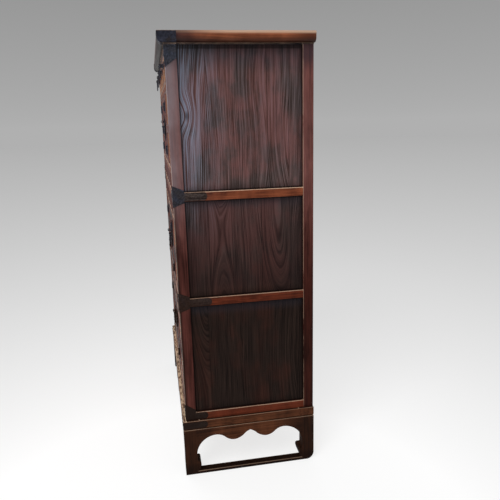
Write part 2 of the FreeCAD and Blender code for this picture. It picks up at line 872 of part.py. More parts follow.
def bent_strap(name, start, steps, corner):
    """Sheet iron bent round a front corner, with the same outline on both faces. The
    outline's first coordinate runs from the corner along either face."""

    def turned(point):
        return tuple(f"-({formula})" if index % 2 == 0 else formula for index, formula in enumerate(point))

    x, y = corner
    side_leaf = plate(name + "_side", "YZ_Plane", start, steps, "strap_thickness", (x, y, "0"))
    steps = [turned(step) for step in steps]
    front_leaf = plate(name + "_front", "XZ_Plane", turned(start), steps, "strap_thickness", (x, y, "0"))
    return fused(name, (side_leaf, front_leaf))


def post_strap():
    """The strap at the top of a post, drawn out to a point down the corner."""
    start = ("-strap_thickness", "case_top")
    shoulder = ("post_width", f"case_top - {STRAP_DROP_SHARE} * post_strap_drop")
    point = ("-strap_thickness", "case_top - post_strap_drop")
    return start, (("post_width", "case_top"), shoulder, point, start)


def rail_strap(floor, fall, rise, reach):
    """The strap where a rail meets a post: an arm with a round end along the rail, and
    a leaf that runs up the corner, and down it too where there is a tier below."""
    bottom = f"{floor} - rail_height"
    top_point = ("-strap_thickness", f"{floor} + {rise}")
    top_shoulder = ("post_width", f"{floor} + {STRAP_SHOULDER_SHARE} * {rise}")
    root = ("post_width", f"{floor} - strap_margin")
    arm_high = (f"{reach} - strap_lobe", f"{floor} - strap_margin")
    arm_tip = (reach, f"{floor} - rail_height / 2")
    arm_low = (f"{reach} - strap_lobe", f"{bottom} + strap_margin")
    low_root = ("post_width", arm_low[1])
    steps = [top_shoulder, root, arm_high]
    steps += [arm_tip + arm_low, low_root]
    if fall:
        low_shoulder = ("post_width", f"{bottom} - {STRAP_SHOULDER_SHARE} * strap_fall")
        low_point = ("-strap_thickness", f"{bottom} - strap_fall")
        steps += [low_shoulder, low_point]
    else:
        low_point = ("-strap_thickness", arm_low[1])
        steps += [low_point]
    steps += [top_point]
    return top_point, steps


def frame_strap():
    """The strap round a corner of the stand's frame."""
    low = "groove_top + strap_margin"
    high = "stand_top - frame_round"
    start = ("-strap_thickness", low)
    tip = ("frame_strap_reach", f"({low} + {high}) / 2")
    arm_high = ("frame_strap_reach - strap_lobe", high)
    return start, (("frame_strap_reach - strap_lobe", low), tip + arm_high, ("-strap_thickness", high), start)


def make_corner_straps(board):
    """The iron on the front corners: round the board, down the posts and along the rails."""
    skin = cut("board_skin", board_body("board_skin_body", "strap_thickness"), board)
    edge = "case_side + side_overhang + strap_thickness"
    front = "case_front - front_overhang - strap_thickness"
    x = (f"{edge} - board_strap_reach", edge)
    y = (front, f"{front} + board_strap_reach")
    room = block("board_strap_room", x, y, ("board_bottom", "board_top - board_ease"))
    straps = [common("board_strap", skin, room)]
    corner = ("case_side", "case_front")
    straps.append(bent_strap("post_strap", *post_strap(), corner))
    for tier, zone in TIERS.items():
        kind = "lower_strap" if tier == "lower" else "strap"
        outline = rail_strap(zone["floor"], tier != "lower", f"{kind}_rise", f"{kind}_reach")
        straps.append(bent_strap(f"{tier}_rail_strap", *outline, corner))
    straps.append(bent_strap("frame_strap", *frame_strap(), ("stand_side", "stand_front")))
    images = [mirror_image(strap.Name + "_left", strap) for strap in straps]
    node("corner_straps", gather("corner_strap_group", straps + images))


def leaf_outline(outward):
    """One wing of a butterfly hinge, seen from the front, from the knuckle outwards."""
    root = f"{outward} * (knuckle_radius + leaf_thickness / 2)"
    tip = f"{outward} * leaf_reach * {LEAF_TIP_SHARE}"
    low_root = (root, "-leaf_root")
    point = (f"{outward} * leaf_reach", "0")
    return low_root, ((tip, "-leaf_tip"), point, (tip, "leaf_tip"), (root, "leaf_root"), low_root)


def knuckle(name, outward, x, z, low, high):
    """A barrel round the pin between two heights, and the neck that joins it to its leaf."""
    start = (x, "hinge_y", f"{z} + {low}")
    barrel = prism(f"{name}_barrel", FORGED_FLATS, "knuckle_radius", f"({high}) - ({low})", start)
    reach = f"{x} + {outward} * (knuckle_radius + leaf_thickness)"
    span = (x, reach) if outward > 0 else (reach, x)
    heights = (f"{z} + {low}", f"{z} + {high}")
    return [barrel, block(f"{name}_neck", span, ("case_front - leaf_thickness", "case_front"), heights)]


def fixed_leaf(name, side, z):
    """The leaf on the stile: its wing, two barrels and the pin, welded in half way up them."""
    x = f"{side} * hinge_x"
    wing = plate(f"{name}_wing", "XZ_Plane", *leaf_outline(side), "leaf_thickness", (x, "case_front", z))
    parts = [wing]
    inner = "door_barrel_half + hinge_clearance"
    parts += knuckle(f"{name}_high", side, x, z, inner, "knuckle_half")
    parts += knuckle(f"{name}_low", side, x, z, "-knuckle_half", f"-({inner})")
    seat = f"({inner} + knuckle_half) / 2"
    start = (x, "hinge_y", f"{z} - {seat}")
    parts.append(prism(f"{name}_pin", PIN_FLATS, "hinge_pin_radius", f"2 * {seat}", start))
    return fused(name, parts)


def door_leaf(name, side, z):
    """The leaf on the door: its wing and the barrel that turns on the pin."""
    x = f"{side} * hinge_x"
    wing = plate(f"{name}_wing", "XZ_Plane", *leaf_outline(-side), "leaf_thickness", (x, "case_front", z))
    barrel = knuckle(f"{name}_middle", -side, x, z, "-door_barrel_half", "door_barrel_half")
    whole = fused(f"{name}_solid", [wing] + barrel)
    radius = f"(hinge_pin_radius + hinge_bore_clearance) / {PIN_FLAT_SHARE}"
    start = (x, "hinge_y", f"{z} - knuckle_half")
    return cut(name, whole, prism(f"{name}_bore", PIN_FLATS, radius, "2 * knuckle_half", start))


def hinge_heights(zone):
    """The middle heights of a door's two hinges."""
    return {"low": f"{zone['door_bottom']} + hinge_inset", "high": f"{zone['door_top']} - hinge_inset"}


def make_hinge_leaves():
    """The fixed half of every hinge."""
    leaves = []
    for tier, zone in TIERS.items():
        for name, side in SIDES.items():
            for end, z in hinge_heights(zone).items():
                leaves.append(fixed_leaf(f"{tier}_{name}_{end}_fixed_leaf", side, z))
    node("hinge_leaves", gather("hinge_leaf_group", leaves))


def eye(name, x, face, z, kind):
    """A forged eye that stands out from a face: its neck, its round head and the hole
    across it. The four sizes of each kind of eye carry its name."""
    thick, reach, radius, hole = kind
    span = (f"{x} - {thick} / 2", f"{x} + {thick} / 2")
    centre = f"{face} - {reach}"
    half = f"{EYE_NECK_SHARE} * {radius}"
    neck = block(f"{name}_neck", span, (centre, face), (f"{z} - {half}", f"{z} + {half}"))
    head = prism(f"{name}_head", FORGED_FLATS, radius, thick, (span[0], centre, z), ALONG_X)
    start = (f"{x} - {thick}", centre, z)
    hole_radius = f"{hole} / {FLAT_SHARE}"
    return [neck, head], prism(f"{name}_hole", FORGED_FLATS, hole_radius, f"2 * {thick}", start, ALONG_X)


STAPLE = ("staple_thickness", "staple_reach", "staple_radius", "staple_bore")
RING_EYE = ("ring_eye_thickness", "ring_eye_reach", "ring_eye_radius", "(ring_wire_radius + ring_play)")
BAIL_POST = ("bail_post_thickness", "bail_post_reach", "bail_post_radius", "(bail_wire_radius + bail_play)")


def lock_plate(name, side, middle):
    """Half of the round lock plate, with the staple for a padlock and the ring's eye."""
    edge = f"{side} * meeting_gap / 2"
    start = (edge, "-lock_plate_radius")
    steps = ((f"{side} * lock_plate_radius", "0", edge, "lock_plate_radius"), start)
    corner = ("0", "case_front", middle)
    disc = plate(f"{name}_disc", "XZ_Plane", start, steps, "lock_plate_thickness", corner)
    face = "case_front - lock_plate_thickness"
    across, up = f"{side} * staple_offset", f"{middle} + staple_rise"
    staple, staple_hole = eye(f"{name}_staple", across, face, up, STAPLE)
    across, up = f"{side} * ring_offset", f"{middle} + ring_rise"
    ring_eye, eye_hole = eye(f"{name}_eye", across, face, up, RING_EYE)
    solid = fused(f"{name}_solid", [disc] + staple + ring_eye)
    return cut(name, solid, gather(f"{name}_holes", (staple_hole, eye_hole)))


def ring(name, side, middle):
    """A forged ring that hangs in the eye of a door, its square bar chamfered to eight flats."""
    body = doc.addObject("PartDesign::Body", name)
    hoop = body.newObject("PartDesign::AdditivePrism", name + "_outside")
    hoop.Polygon = RING_FACETS
    hoop.setExpression("Circumradius", linked("ring_radius + ring_wire_radius"))
    hoop.setExpression("Height", linked("2 * ring_wire_radius"))
    hole = body.newObject("PartDesign::SubtractivePrism", name + "_inside")
    hole.Polygon = RING_FACETS
    hole.setExpression("Circumradius", linked("ring_radius - ring_wire_radius"))
    hole.setExpression("Height", linked("2 * ring_wire_radius"))
    doc.recompute()
    flat = hole.Shape.BoundBox.ZLength / RING_FACETS
    rims = edges_where(hole.Shape, lambda box: box.ZLength < flat)
    flats = body.newObject("PartDesign::Chamfer", name + "_flats")
    flats.Base = (hole, rims)
    flats.setExpression("Size", linked(f"ring_wire_radius * {RIM_SHARE}"))
    body.Placement = FreeCAD.Placement(FreeCAD.Vector(), TOWARDS_FRONT)
    y = "case_front - lock_plate_thickness - ring_eye_reach + ring_wire_radius"
    place(body, (f"{side} * ring_offset", y, f"{middle} + ring_rise - ring_radius"))
    return body


def make_door(tier, zone, name, side):
    """One door: a frame of two stiles and two rails round a panel, and its iron."""
    label = f"{tier}_{name}_door"
    z = (f"{zone['door_bottom']} + door_gap", f"{zone['door_top']} - door_gap")
    z_panel = (f"{z[0]} + door_stile_width", f"{z[1]} - door_stile_width")
    y = ("case_front", "case_front + door_thickness")
    face = "case_front + door_panel_recess"
    y_panel = (face, f"{face} + door_panel_thickness")
    near, far = "meeting_gap / 2", "door_edge - door_gap"
    inner = mirrored(side, (f"{near} + door_stile_width", f"{far} - door_stile_width"))
    frame = [
        block(f"{label}_meeting_stile", mirrored(side, (near, f"{near} + door_stile_width")), y, z),
        block(f"{label}_hinge_stile", mirrored(side, (f"{far} - door_stile_width", far)), y, z),
        block(f"{label}_bottom_rail", inner, y, (z[0], z_panel[0])),
        block(f"{label}_top_rail", inner, y, (z_panel[1], z[1])),
    ]
    node(f"{label}_frame", gather(f"{label}_frame_group", frame))
    node(f"{label}_panel", block(f"{label}_board", inner, y_panel, z_panel))

    middle = f"({z[0]} + {z[1]}) / 2"
    iron = [lock_plate(f"{label}_lock_plate", side, middle)]
    for end, height in hinge_heights(zone).items():
        iron.append(door_leaf(f"{label}_{end}_leaf", side, height))
    node(f"{label}_fittings", gather(f"{label}_iron", iron))
    node(f"{label}_ring", ring(f"{label}_hoop", side, middle))


def drawer_middle(index):
    """The middle of a drawer's opening in X."""
    return f"((2 * {index} + 1) * drawer_pitch / 2 - inner_side - muntin_width / 2)"


def bend(level, upright):
    """The corners of a quarter turn from where a bar lies level to where it hangs upright."""
    return [between(level, upright, shares) for shares in BEND_SHARES] + [upright]


def bail(name, middle, face, pivot):
    """A drop handle: a forged bar bent to a U, its two ends turned out into the posts."""
    body = doc.addObject("PartDesign::Body", name)
    path = new_sketch(body, name + "_path", "XZ_Plane")
    end = "bail_half_width + bail_end"
    arm = "bail_half_width - (bail_post_thickness + bail_wire_radius) / 2 - bail_top_bend"
    low = "-bail_drop"
    top_start = (f"-({arm} + bail_top_bend)", "0")
    arm_top = (f"-({arm})", "-bail_top_bend")
    arm_low = (f"-({arm})", f"{low} + bail_bottom_bend")
    bar_end = (f"-({arm}) + bail_bottom_bend", low)
    down = [top_start, *bend(top_start, arm_top), arm_low, *bend(bar_end, arm_low)[-2::-1], bar_end]
    up = [(f"-({x})", z) for x, z in down[::-1]]
    draw(path, (f"-({end})", "0"), down + up + [(end, "0")], closed=False)
    profile = new_sketch(body, name + "_section", "YZ_Plane")
    profile.setExpression("AttachmentOffset.Base.z", linked(f"-({end})"))
    radius = "bail_wire_radius"
    corners = [(f"{across} * {radius}", f"{rise} * {radius}") for across, rise in OCTAGON_SHARES]
    draw(profile, corners[-1], corners)
    doc.recompute()
    pipe = body.newObject("PartDesign::AdditivePipe", name + "_pipe")
    pipe.Profile = profile
    pipe.Spine = (path, [f"Edge{index}" for index in range(1, len(path.Shape.Edges) + 1)])
    pipe.Transition = "Right corner"
    place(body, (middle, f"{face} - bail_post_reach", pivot))
    return body


def make_drawer(index):
    """One drawer: its front, its box of thin boards, two handle posts and the bail."""
    label = f"drawer_{index + 1}"
    middle = drawer_middle(index)
    half = "(drawer_pitch - muntin_width) / 2 - drawer_gap"
    x = (f"{middle} - ({half})", f"{middle} + ({half})")
    y = ("case_front", "case_front + drawer_front_thickness")
    z = ("drawer_floor + drawer_gap", "drawer_top - drawer_gap")
    node(f"{label}_front", block(f"{label}_face", x, y, z))

    low = "drawer_floor + drawer_clearance"
    back = "case_front + drawer_length"
    y = ("case_front + drawer_front_thickness", back)
    left = (x[0], f"{x[0]} + drawer_side_thickness")
    right = (f"{x[1]} - drawer_side_thickness", x[1])
    inner = (left[1], right[0])
    tall = (low, f"{low} + drawer_side_height")
    y_back = (f"{back} - drawer_side_thickness", back)
    floor = (low, f"{low} + drawer_bottom_thickness")
    box = [
        block(f"{label}_left_side", left, y, tall),
        block(f"{label}_right_side", right, y, tall),
        block(f"{label}_back", inner, y_back, (floor[1], f"{low} + drawer_back_height")),
        block(f"{label}_bottom", inner, y, floor),
    ]
    node(f"{label}_box", gather(f"{label}_boards", box))

    pivot = "(drawer_floor + drawer_top) / 2 + bail_rise"
    iron = []
    face = "case_front - rosette_thickness"
    for name, side in SIDES.items():
        post_x = f"{middle} + {side} * bail_half_width"
        rosette = prism(
            f"{label}_{name}_rosette",
            FORGED_FLATS,
            "rosette_radius",
            "rosette_thickness",
            (post_x, "case_front", pivot),
            TOWARDS_FRONT,
        )
        stem, hole = eye(f"{label}_{name}_post", post_x, face, pivot, BAIL_POST)
        solid = fused(f"{label}_{name}_solid", [rosette] + stem)
        iron.append(cut(f"{label}_{name}_handle_post", solid, hole))
    node(f"{label}_handle_posts", gather(f"{label}_handle_group", iron))
    node(f"{label}_bail", bail(f"{label}_bail_body", middle, face, pivot))


def check_everything():
    """Stop if any object failed or any sub-part has no sound shape."""
    doc.recompute()
    for item in doc.Objects:
        if "Invalid" in item.State or "Error" in item.State:
            raise RuntimeError(f"{item.Label} did not build: {item.State}")
    for piece in nodes:
        if piece.Shape.isNull() or not piece.Shape.isValid() or not piece.Shape.Solids:
            raise RuntimeError(f"{piece.Label} has no sound shape")


def main():
    fill_sheet()
    board = make_top_board()
    make_neck_frame()
    raw_posts, tier_floors = make_case()
    deck = make_drawer_deck(raw_posts)
    make_front(tier_floors, deck)
    make_stop_strips()
    make_stand_frame()
    make_stand_legs()
    make_stand_aprons()
    make_stretchers()
    make_corner_straps(board)
    make_hinge_leaves()
    for tier, zone in TIERS.items():
        for name, side in SIDES.items():
            make_door(tier, zone, name, side)
    for index in range(DRAWERS_ACROSS):
        make_drawer(index)
    check_everything()

    os.makedirs("parts", exist_ok=True)
    for piece in nodes:
        piece.Shape.exportStep(f"parts/{piece.Label}.step")
    print(f"{len(nodes)} sub-parts, {sum(len(piece.Shape.Solids) for piece in nodes)} solids")


main()
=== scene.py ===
"""The looks of a three-tier clothes chest: its woods, burl and forged iron, with the nails,
beads, rings and handles too fine for the solids, in a plain pale studio. Lengths are metres."""

import math
import random

import bmesh
import bpy
from bpy.props import FloatProperty, FloatVectorProperty, IntProperty, PointerProperty
from mathutils import Matrix, Vector


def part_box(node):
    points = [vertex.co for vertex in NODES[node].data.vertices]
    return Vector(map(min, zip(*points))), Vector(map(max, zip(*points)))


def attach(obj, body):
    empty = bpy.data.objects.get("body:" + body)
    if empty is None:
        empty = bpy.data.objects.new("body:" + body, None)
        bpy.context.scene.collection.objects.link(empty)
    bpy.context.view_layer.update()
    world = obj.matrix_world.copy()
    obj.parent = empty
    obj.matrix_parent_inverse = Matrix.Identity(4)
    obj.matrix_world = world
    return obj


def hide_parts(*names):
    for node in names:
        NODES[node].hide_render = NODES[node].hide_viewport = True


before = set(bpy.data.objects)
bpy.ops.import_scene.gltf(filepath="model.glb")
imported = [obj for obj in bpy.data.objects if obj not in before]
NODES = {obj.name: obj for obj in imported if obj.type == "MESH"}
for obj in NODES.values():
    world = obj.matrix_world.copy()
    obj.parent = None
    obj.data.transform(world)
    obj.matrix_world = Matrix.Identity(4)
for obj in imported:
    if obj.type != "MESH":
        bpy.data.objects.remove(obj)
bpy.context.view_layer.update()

bl_info = {
    "name": "Three-Tier Clothes Chest",
    "version": (1, 0, 0),
    "blender": (4, 5, 0),
    "location": "3D View > Sidebar > Chest",
    "description": "Finishes the chest in brushed board, red-brown frame wood, burl and forged iron",
    "category": "Object",
}

TIERS = ("lower", "middle", "upper")
SIDES = {"left": -1, "right": 1}
DOORS = {f"{tier}_{side}_door": sign for tier in TIERS for side, sign in SIDES.items()}
DRAWERS = [f"drawer_{number}" for number in range(1, 5)]
AXES = "xyz"
FORWARD = (0, -1, 0)

# Nodes whose boards all run one way: their finish, and that way.
STRAIGHT_FRAME = {
    "corner_posts": ("frame_wood", "z"),
    "front_stiles": ("frame_wood", "z"),
    "side_rails": ("rail_wood", "y"),
    "front_rails": ("rail_wood", "x"),
    "top_board": ("board_wood", "x"),
}
STRAIGHT_PLAIN = {
    "tier_floors": ("inner_wood", "x"),
    "drawer_deck": ("inner_wood", "x"),
    "stop_strips": ("inner_wood", "x"),
    "back_rails": ("back_wood", "x"),
    "back_panels": ("back_wood", "z"),
}

# Places on the part that finishes, nails and trim are set from.
POSTS_LOW, POSTS_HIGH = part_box("corner_posts")
CASE_FRONT = POSTS_LOW.y
CASE_SIDE = POSTS_HIGH.x
CASE_TOP = POSTS_HIGH.z
REAR_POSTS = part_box("side_rails")[1].y
RAIL_TOPS = (0.256, 0.706, 1.086)
RAIL_HEIGHT = 0.030
STAND_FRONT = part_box("stand_frame")[0].y
STAND_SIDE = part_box("stand_frame")[1].x
STAND_STRAP = 0.2105
STRAP_THICK = 0.0012
BOARD_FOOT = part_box("top_board")[0].z
CLEAT_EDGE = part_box("top_board")[1].x - 0.060
KNOT = (0.0, -0.176, 1.338)
KNOT_STRETCH = 0.55

# Widths of the members that run right through a frame or a box.
NECK_WIDTH = 0.040
STAND_WIDTH = 0.060
DOOR_STILE = 0.030
DRAWER_SIDE = 0.009

# A worn width below nothing, which leaves the edges whole.
UNWORN = -0.001

# How deep the foot of a small piece is sunk into what it sits on.
SUNK = 0.0002

# Nails of the straps, by how far they lie from the corner. Those at the top also have how far
# they lie from the case's top, and those of a rail or the stand lie in its middle.
TOP_NAILS = ((0.010, -0.010), (0.028, -0.010), (0.010, -0.034), (0.027, -0.028), (0.007, -0.056))
ARM_NAILS = (0.010, 0.029, 0.054, 0.080, 0.107)
LOW_ARM_NAILS = (0.010, 0.029, 0.052, 0.074)
STAND_NAILS = (0.010, 0.032, 0.057, 0.082)

# The hinges: their line from the door's edge, their distance from its ends, how far the pin
# stands out, its half length, and where a leaf's nails lie from its middle.
HINGE_ASIDE = 0.00075
HINGE_FROM_END = 0.0465
PIN_OUT = 0.0035
PIN_HALF = 0.014
LEAF_NAILS = ((0.009, 0.009), (0.009, -0.009), (0.0155, 0.0155), (0.0155, -0.0155), (0.0165, 0))

# Rims of a lock plate, as radius, half width and rise, the circle of its nails, and how far the
# rims' ends stay from the line where the doors meet.
LOCK_RIMS = ((0.0506, 0.0013, 0.0008), (0.0375, 0.0008, 0.0005), (0.0350, 0.0008, 0.0005))
LOCK_NAILS = 0.0440
DOOR_MEETING = 0.0012

# A bail: how far its shoulders, its arms and the ends of its level foot lie from its middle, and
# the radius of its upper and lower bends.
BAIL_SHOULDER = 0.030
BAIL_ARM = 0.0224
BAIL_FLAT = 0.006
BAIL_TOP_BEND = 0.005
BAIL_LOW_BEND = 0.009

# Half the thickness of the solids' rings and bails, how far a handle post lies from the middle of
# its bail, and how thick its plate is.
BAR_HALF = 0.0022
HANDLE_POST = 0.032
PLATE_THICK = 0.0015

# A rosette from its rim inwards, as radius and rise.
PETALS = ((0.0108, -0.0002), (0.0106, 0.0003), (0.0088, 0.0011), (0.0066, 0.0005), (0.0055, 0.0008))


def tone(red, green, blue):
    """A colour as an eye reads it from 0 to 255, turned into the linear values that shaders use."""
    parts = [part / 255 for part in (red, green, blue)]
    return tuple(p / 12.92 if p <= 0.04045 else ((p + 0.055) / 1.055) ** 2.4 for p in parts)


def colour(name, description, default):
    """A property that holds a colour."""
    return FloatVectorProperty(
        name=name, description=description, default=default, subtype="COLOR", min=0, max=1
    )


def length(name, description, default):
    """A property that holds a length."""
    return FloatProperty(name=name, description=description, default=default, unit="LENGTH", precision=4)


def strength(name, description, default):
    """A property that holds how strong a light is."""
    return FloatProperty(name=name, description=description, default=default, min=0)


class ChestColours(bpy.types.PropertyGroup):
    """The colours of the chest's finishes."""

    frame_light: colour("Frame light", "Lit grain of the posts' red-brown wood, high up", tone(136, 82, 74))
    frame_dark: colour("Frame dark", "Dark grain of the posts' red-brown wood, high up", tone(66, 34, 30))
    # Painted shade: the low colours are darker copies of the high ones, for where less light reaches the
    # lower tiers.
    frame_low_light: colour("Frame low light", "Lit grain of the frame wood, low down", tone(78, 36, 28))
    frame_low_dark: colour("Frame low dark", "Dark grain of the frame wood, low down", tone(24, 9, 7))
    rail_light: colour("Rail light", "Lit grain of the rails, high up", tone(164, 92, 60))
    rail_dark: colour("Rail dark", "Dark grain of the rails, high up", tone(66, 28, 18))
    # Painted shade: darker copies of the rail colours for low down.
    rail_shaded_light: colour("Rail low light", "Lit grain of the rails, low down", tone(120, 56, 36))
    rail_shaded_dark: colour("Rail low dark", "Dark grain of the rails, low down", tone(34, 15, 10))
    stand_light: colour("Stand light", "Lit grain of the stand", tone(104, 61, 39))
    stand_dark: colour("Stand dark", "Dark grain of the stand", tone(26, 14, 9))
    board_light: colour("Board light", "Lit grain of the top board", tone(168, 96, 62))
    board_dark: colour("Board dark", "Dark grain of the top board", tone(76, 36, 22))
    board_front: colour("Board front", "The top board near its front, where it is darkest", tone(62, 40, 42))
    # Painted glint: pale streaks on the front ledge's top, in place of light reflected from it.
    ledge_glint: colour("Scuffed ledge", "Bare wood on the ledge at the front's foot", tone(218, 190, 160))
    # Also the colour of painted highlights along the rails' tops, the board's rounded edge and the front
    # corners.
    arris: colour("Worn arris", "Bare wood where an edge is worn", tone(224, 188, 160))
    panel_light: colour("Panel ridge", "Raised grain of the brushed side boards", tone(138, 110, 103))
    panel_dark: colour("Panel ground", "Hollows between the raised grain", tone(33, 23, 25))
    panel_red: colour("Panel red", "Red streaks in the brushed boards", tone(126, 77, 71))
    panel_moss: colour("Panel moss", "Green-black patches in the brushed boards", tone(52, 47, 43))
    # Painted shade: darker copies of the panel colours for low down.
    panel_low_light: colour("Panel low ridge", "Raised grain of the side boards, low down", tone(56, 42, 36))
    panel_low_dark: colour("Panel low ground", "Hollows in the side boards, low down", tone(21, 14, 12))
    panel_low_red: colour("Panel low red", "Dull red patches in the side boards, low down", tone(66, 34, 26))
    # Painted sheen: blue-grey for daylight reflected from the polish high up near the front; the bright one
    # paints highlights on raised grain, corners and iron.
    sheen: colour("Bloom", "Blue-grey bloom where daylight bleached the polish", tone(136, 122, 126))
    sheen_bright: colour("Bloom bright", "Bloom where the daylight falls", tone(144, 160, 184))
    shade: colour("Shade", "Blue-black shade under the top board", tone(42, 43, 52))
    # Real smoke, grime and joints, and also painted shade: on faces that look up, under the board's rounding,
    # in the panels' recesses, towards the rear and on the neck.
    soot_and_shade: colour("Soot", "Old smoke and dirt in corners and low down", tone(12, 8, 7))
    burl_light: colour("Burl light", "Pale figure of the burl", tone(210, 134, 60))
    burl_deep: colour("Burl deep", "Deep figure of the burl", tone(92, 42, 20))
    burl_eye: colour("Burl eye", "Small eyes in the burl", tone(44, 20, 12))
    inner_light: colour("Inside light", "Lit grain of the plain inside wood", tone(186, 150, 108))
    inner_dark: colour("Inside dark", "Dark grain of the plain inside wood", tone(138, 104, 70))
    back_light: colour("Back light", "Lit grain of the back boards", tone(104, 78, 60))
    back_dark: colour("Back dark", "Dark grain of the back boards", tone(62, 44, 34))
    iron: colour("Iron", "Blue-black forged iron", tone(64, 66, 79))
    iron_brown: colour("Iron brown", "Brown oxide on the iron", tone(54, 48, 50))
    iron_rubbed: colour("Iron rubbed", "Brown iron of the strap arms, where it is rubbed", tone(98, 86, 80))
    # Partly oxide and partly painted shade: the iron is browner and darker low down.
    iron_low: colour("Iron low", "Smoked brown iron, low down", tone(46, 29, 21))
    iron_worn: colour("Iron worn", "Rubbed iron on high spots", tone(140, 134, 130))
    floor: colour("Floor", "Studio floor at its brightest", (1, 1, 1))
    horizon: colour("Horizon", "Studio backdrop where it meets the floor", tone(176, 176, 176))
    backdrop: colour("Backdrop", "Studio backdrop at its darkest, high up", tone(152, 152, 152))


class ChestSizes(bpy.types.PropertyGroup):
    """Sizes of the small pieces and of the patterns in the wood."""

    nail_radius: length("Nail radius", "Radius of a strap nail's domed head", 0.0034)
    nail_height: length("Nail height", "Height of a strap nail's head", 0.0016)
    small_nail_radius: length("Small nail radius", "Radius of the nails in hinges and lock plates", 0.0024)
    small_nail_height: length("Small nail height", "Height of the small nails", 0.0012)
    finial_radius: length("Finial radius", "Radius of the finials on the hinge pins", 0.0029)
    finial_height: length("Finial height", "Height of the finials", 0.0022)
    bead_width: length("Bead width", "Width of the bead round each small panel", 0.0032)
    bead_height: length("Bead height", "How far a bead stands above its panel", 0.003)
    band_width: length("Band width", "Width of the raised band round a drawer's face", 0.005)
    band_height: length("Band height", "Height of that band", 0.0009)
    ring_bar: length("Ring bar", "Radius of a pull ring's bar at its thickest", 0.0022)
    bail_bar: length("Bail bar", "Radius of a drawer bail at its ends", 0.0019)
    ring_line: length("Growth rings", "Distance between growth rings in the side boards", 0.0036)
    board_width: length("Board width", "Usual width of the boards glued into a side panel", 0.105)


class ChestStudio(bpy.types.PropertyGroup):
    """The camera and the lamps."""

    lens: FloatProperty(name="Lens", description="Focal length", default=38.10, unit="CAMERA")
    sky: strength("Sky", "Strength of the even light from all round", 0.52)
    key: strength("Key", "Strength of the soft lamp high in front", 1.25)
    fill: strength("Fill", "Strength of the soft lamp from the other side", 0.5)
    seed: IntProperty(name="Seed", description="Starting number for small irregularities", default=17)


# Where the camera stands, and its right and up directions, which give the photograph's view.
CAMERA_PLACE = (2.2960, -0.2954, 1.3147)
CAMERA_RIGHT = (0.17983, 0.98337, -0.02583)
CAMERA_UP = (-0.22735, 0.06710, 0.97150)

# Every finish by its name.
materials = {}


# Shader wiring


class Wires:
    """Adds nodes to one tree and joins them."""

    def __init__(self, tree):
        self.tree = tree
        self.count = 0

    def add(self, kind):
        """A new node, set out in rows of twelve."""
        made = self.tree.nodes.new(kind)
        self.count += 1
        made.location = (170 * (self.count % 12), -220 * (self.count // 12))
        return made

    def node(self, kind, values=(), **settings):
        """A new node with its settings, and with values or links for its inputs."""
        made = self.add(kind)
        for name, setting in settings.items():
            setattr(made, name, setting)
        for socket, given in dict(values).items():
            self.feed(made.inputs[socket], given)
        return made

    def feed(self, socket, given):
        """Link a socket to another, or set its value."""
        if isinstance(given, bpy.types.NodeSocket):
            self.tree.links.new(given, socket)
        elif socket.type == "RGBA" and len(given) == 3:
            socket.default_value = (*given, 1)
        else:
            socket.default_value = given

    def math(self, operation, first, second=0.0, third=0.0, clamp=False):
        values = {0: first, 1: second, 2: third}
        return self.node("ShaderNodeMath", values, operation=operation, use_clamp=clamp).outputs[0]

    def plus(self, first, second):
        return self.math("ADD", first, second)

    def minus(self, first, second):
        return self.math("SUBTRACT", first, second)

    def times(self, first, second, clamp=False):
        return self.math("MULTIPLY", first, second, clamp=clamp)

    def scaled(self, value, factor, added, clamp=False):
        """A value times a factor, with something added."""
        return self.math("MULTIPLY_ADD", value, factor, added, clamp)

    def most(self, first, *others):
        """The highest of several values."""
        for other in others:
            first = self.math("MAXIMUM", first, other)
        return first

    def size(self, value):
        """A value without its sign."""
        return self.math("ABSOLUTE", value)

    def vector(self, operation, first, second=(0, 0, 0)):
        values = {0: first, 1: second}
        return self.node("ShaderNodeVectorMath", values, operation=operation).outputs["Vector"]

    def lengthen(self, vector, scale):
        values = {0: vector, "Scale": scale}
        return self.node("ShaderNodeVectorMath", values, operation="SCALE").outputs["Vector"]

    def distance(self, first, second):
        values = {0: first, 1: second}
        return self.node("ShaderNodeVectorMath", values, operation="DISTANCE").outputs["Value"]

    def split(self, vector):
        return self.node("ShaderNodeSeparateXYZ", {0: vector}).outputs

    def join(self, x, y, z):
        return self.node("ShaderNodeCombineXYZ", {0: x, 1: y, 2: z}).outputs[0]

    def here(self):
        """The place of the point that is shaded."""
        return self.node("ShaderNodeTexCoord").outputs["Object"]

    def noise(self, place, stretch, detail=2.0, roughness=0.5, distortion=0.0):
        values = {
            "Vector": self.vector("MULTIPLY", place, stretch),
            "Scale": 1.0,
            "Detail": detail,
            "Roughness": roughness,
            "Distortion": distortion,
        }
        return self.node("ShaderNodeTexNoise", values).outputs["Fac"]

    def span(self, value, low, high, start=0.0, end=1.0, smooth=True):
        """Turn a value's run from low to high into a run from start to end, level past both."""
        values = {"Value": value, "From Min": low, "From Max": high, "To Min": start, "To Max": end}
        kind = "SMOOTHSTEP" if smooth else "LINEAR"
        return self.node("ShaderNodeMapRange", values, interpolation_type=kind).outputs["Result"]

    def blend(self, amount, first, second, kind="Color"):
        """Mix two colours, or two vectors, by an amount from 0 to 1."""
        made = self.node("ShaderNodeMix", data_type={"Color": "RGBA", "Vector": "VECTOR"}[kind])
        sockets = {socket.identifier: socket for socket in made.inputs}
        for name, given in (("Factor_Float", amount), (f"A_{kind}", first), (f"B_{kind}", second)):
            self.feed(sockets[name], given)
        return next(socket for socket in made.outputs if socket.identifier == f"Result_{kind}")

    def group(self, name, **values):
        """A node for a shader group, fed by its sockets' names, and what it gives."""
        made = self.add("ShaderNodeGroup")
        made.node_tree = bpy.data.node_groups[name]
        for label, given in values.items():
            self.feed(made.inputs[label.replace("_", " ").capitalize()], given)
        return made.outputs


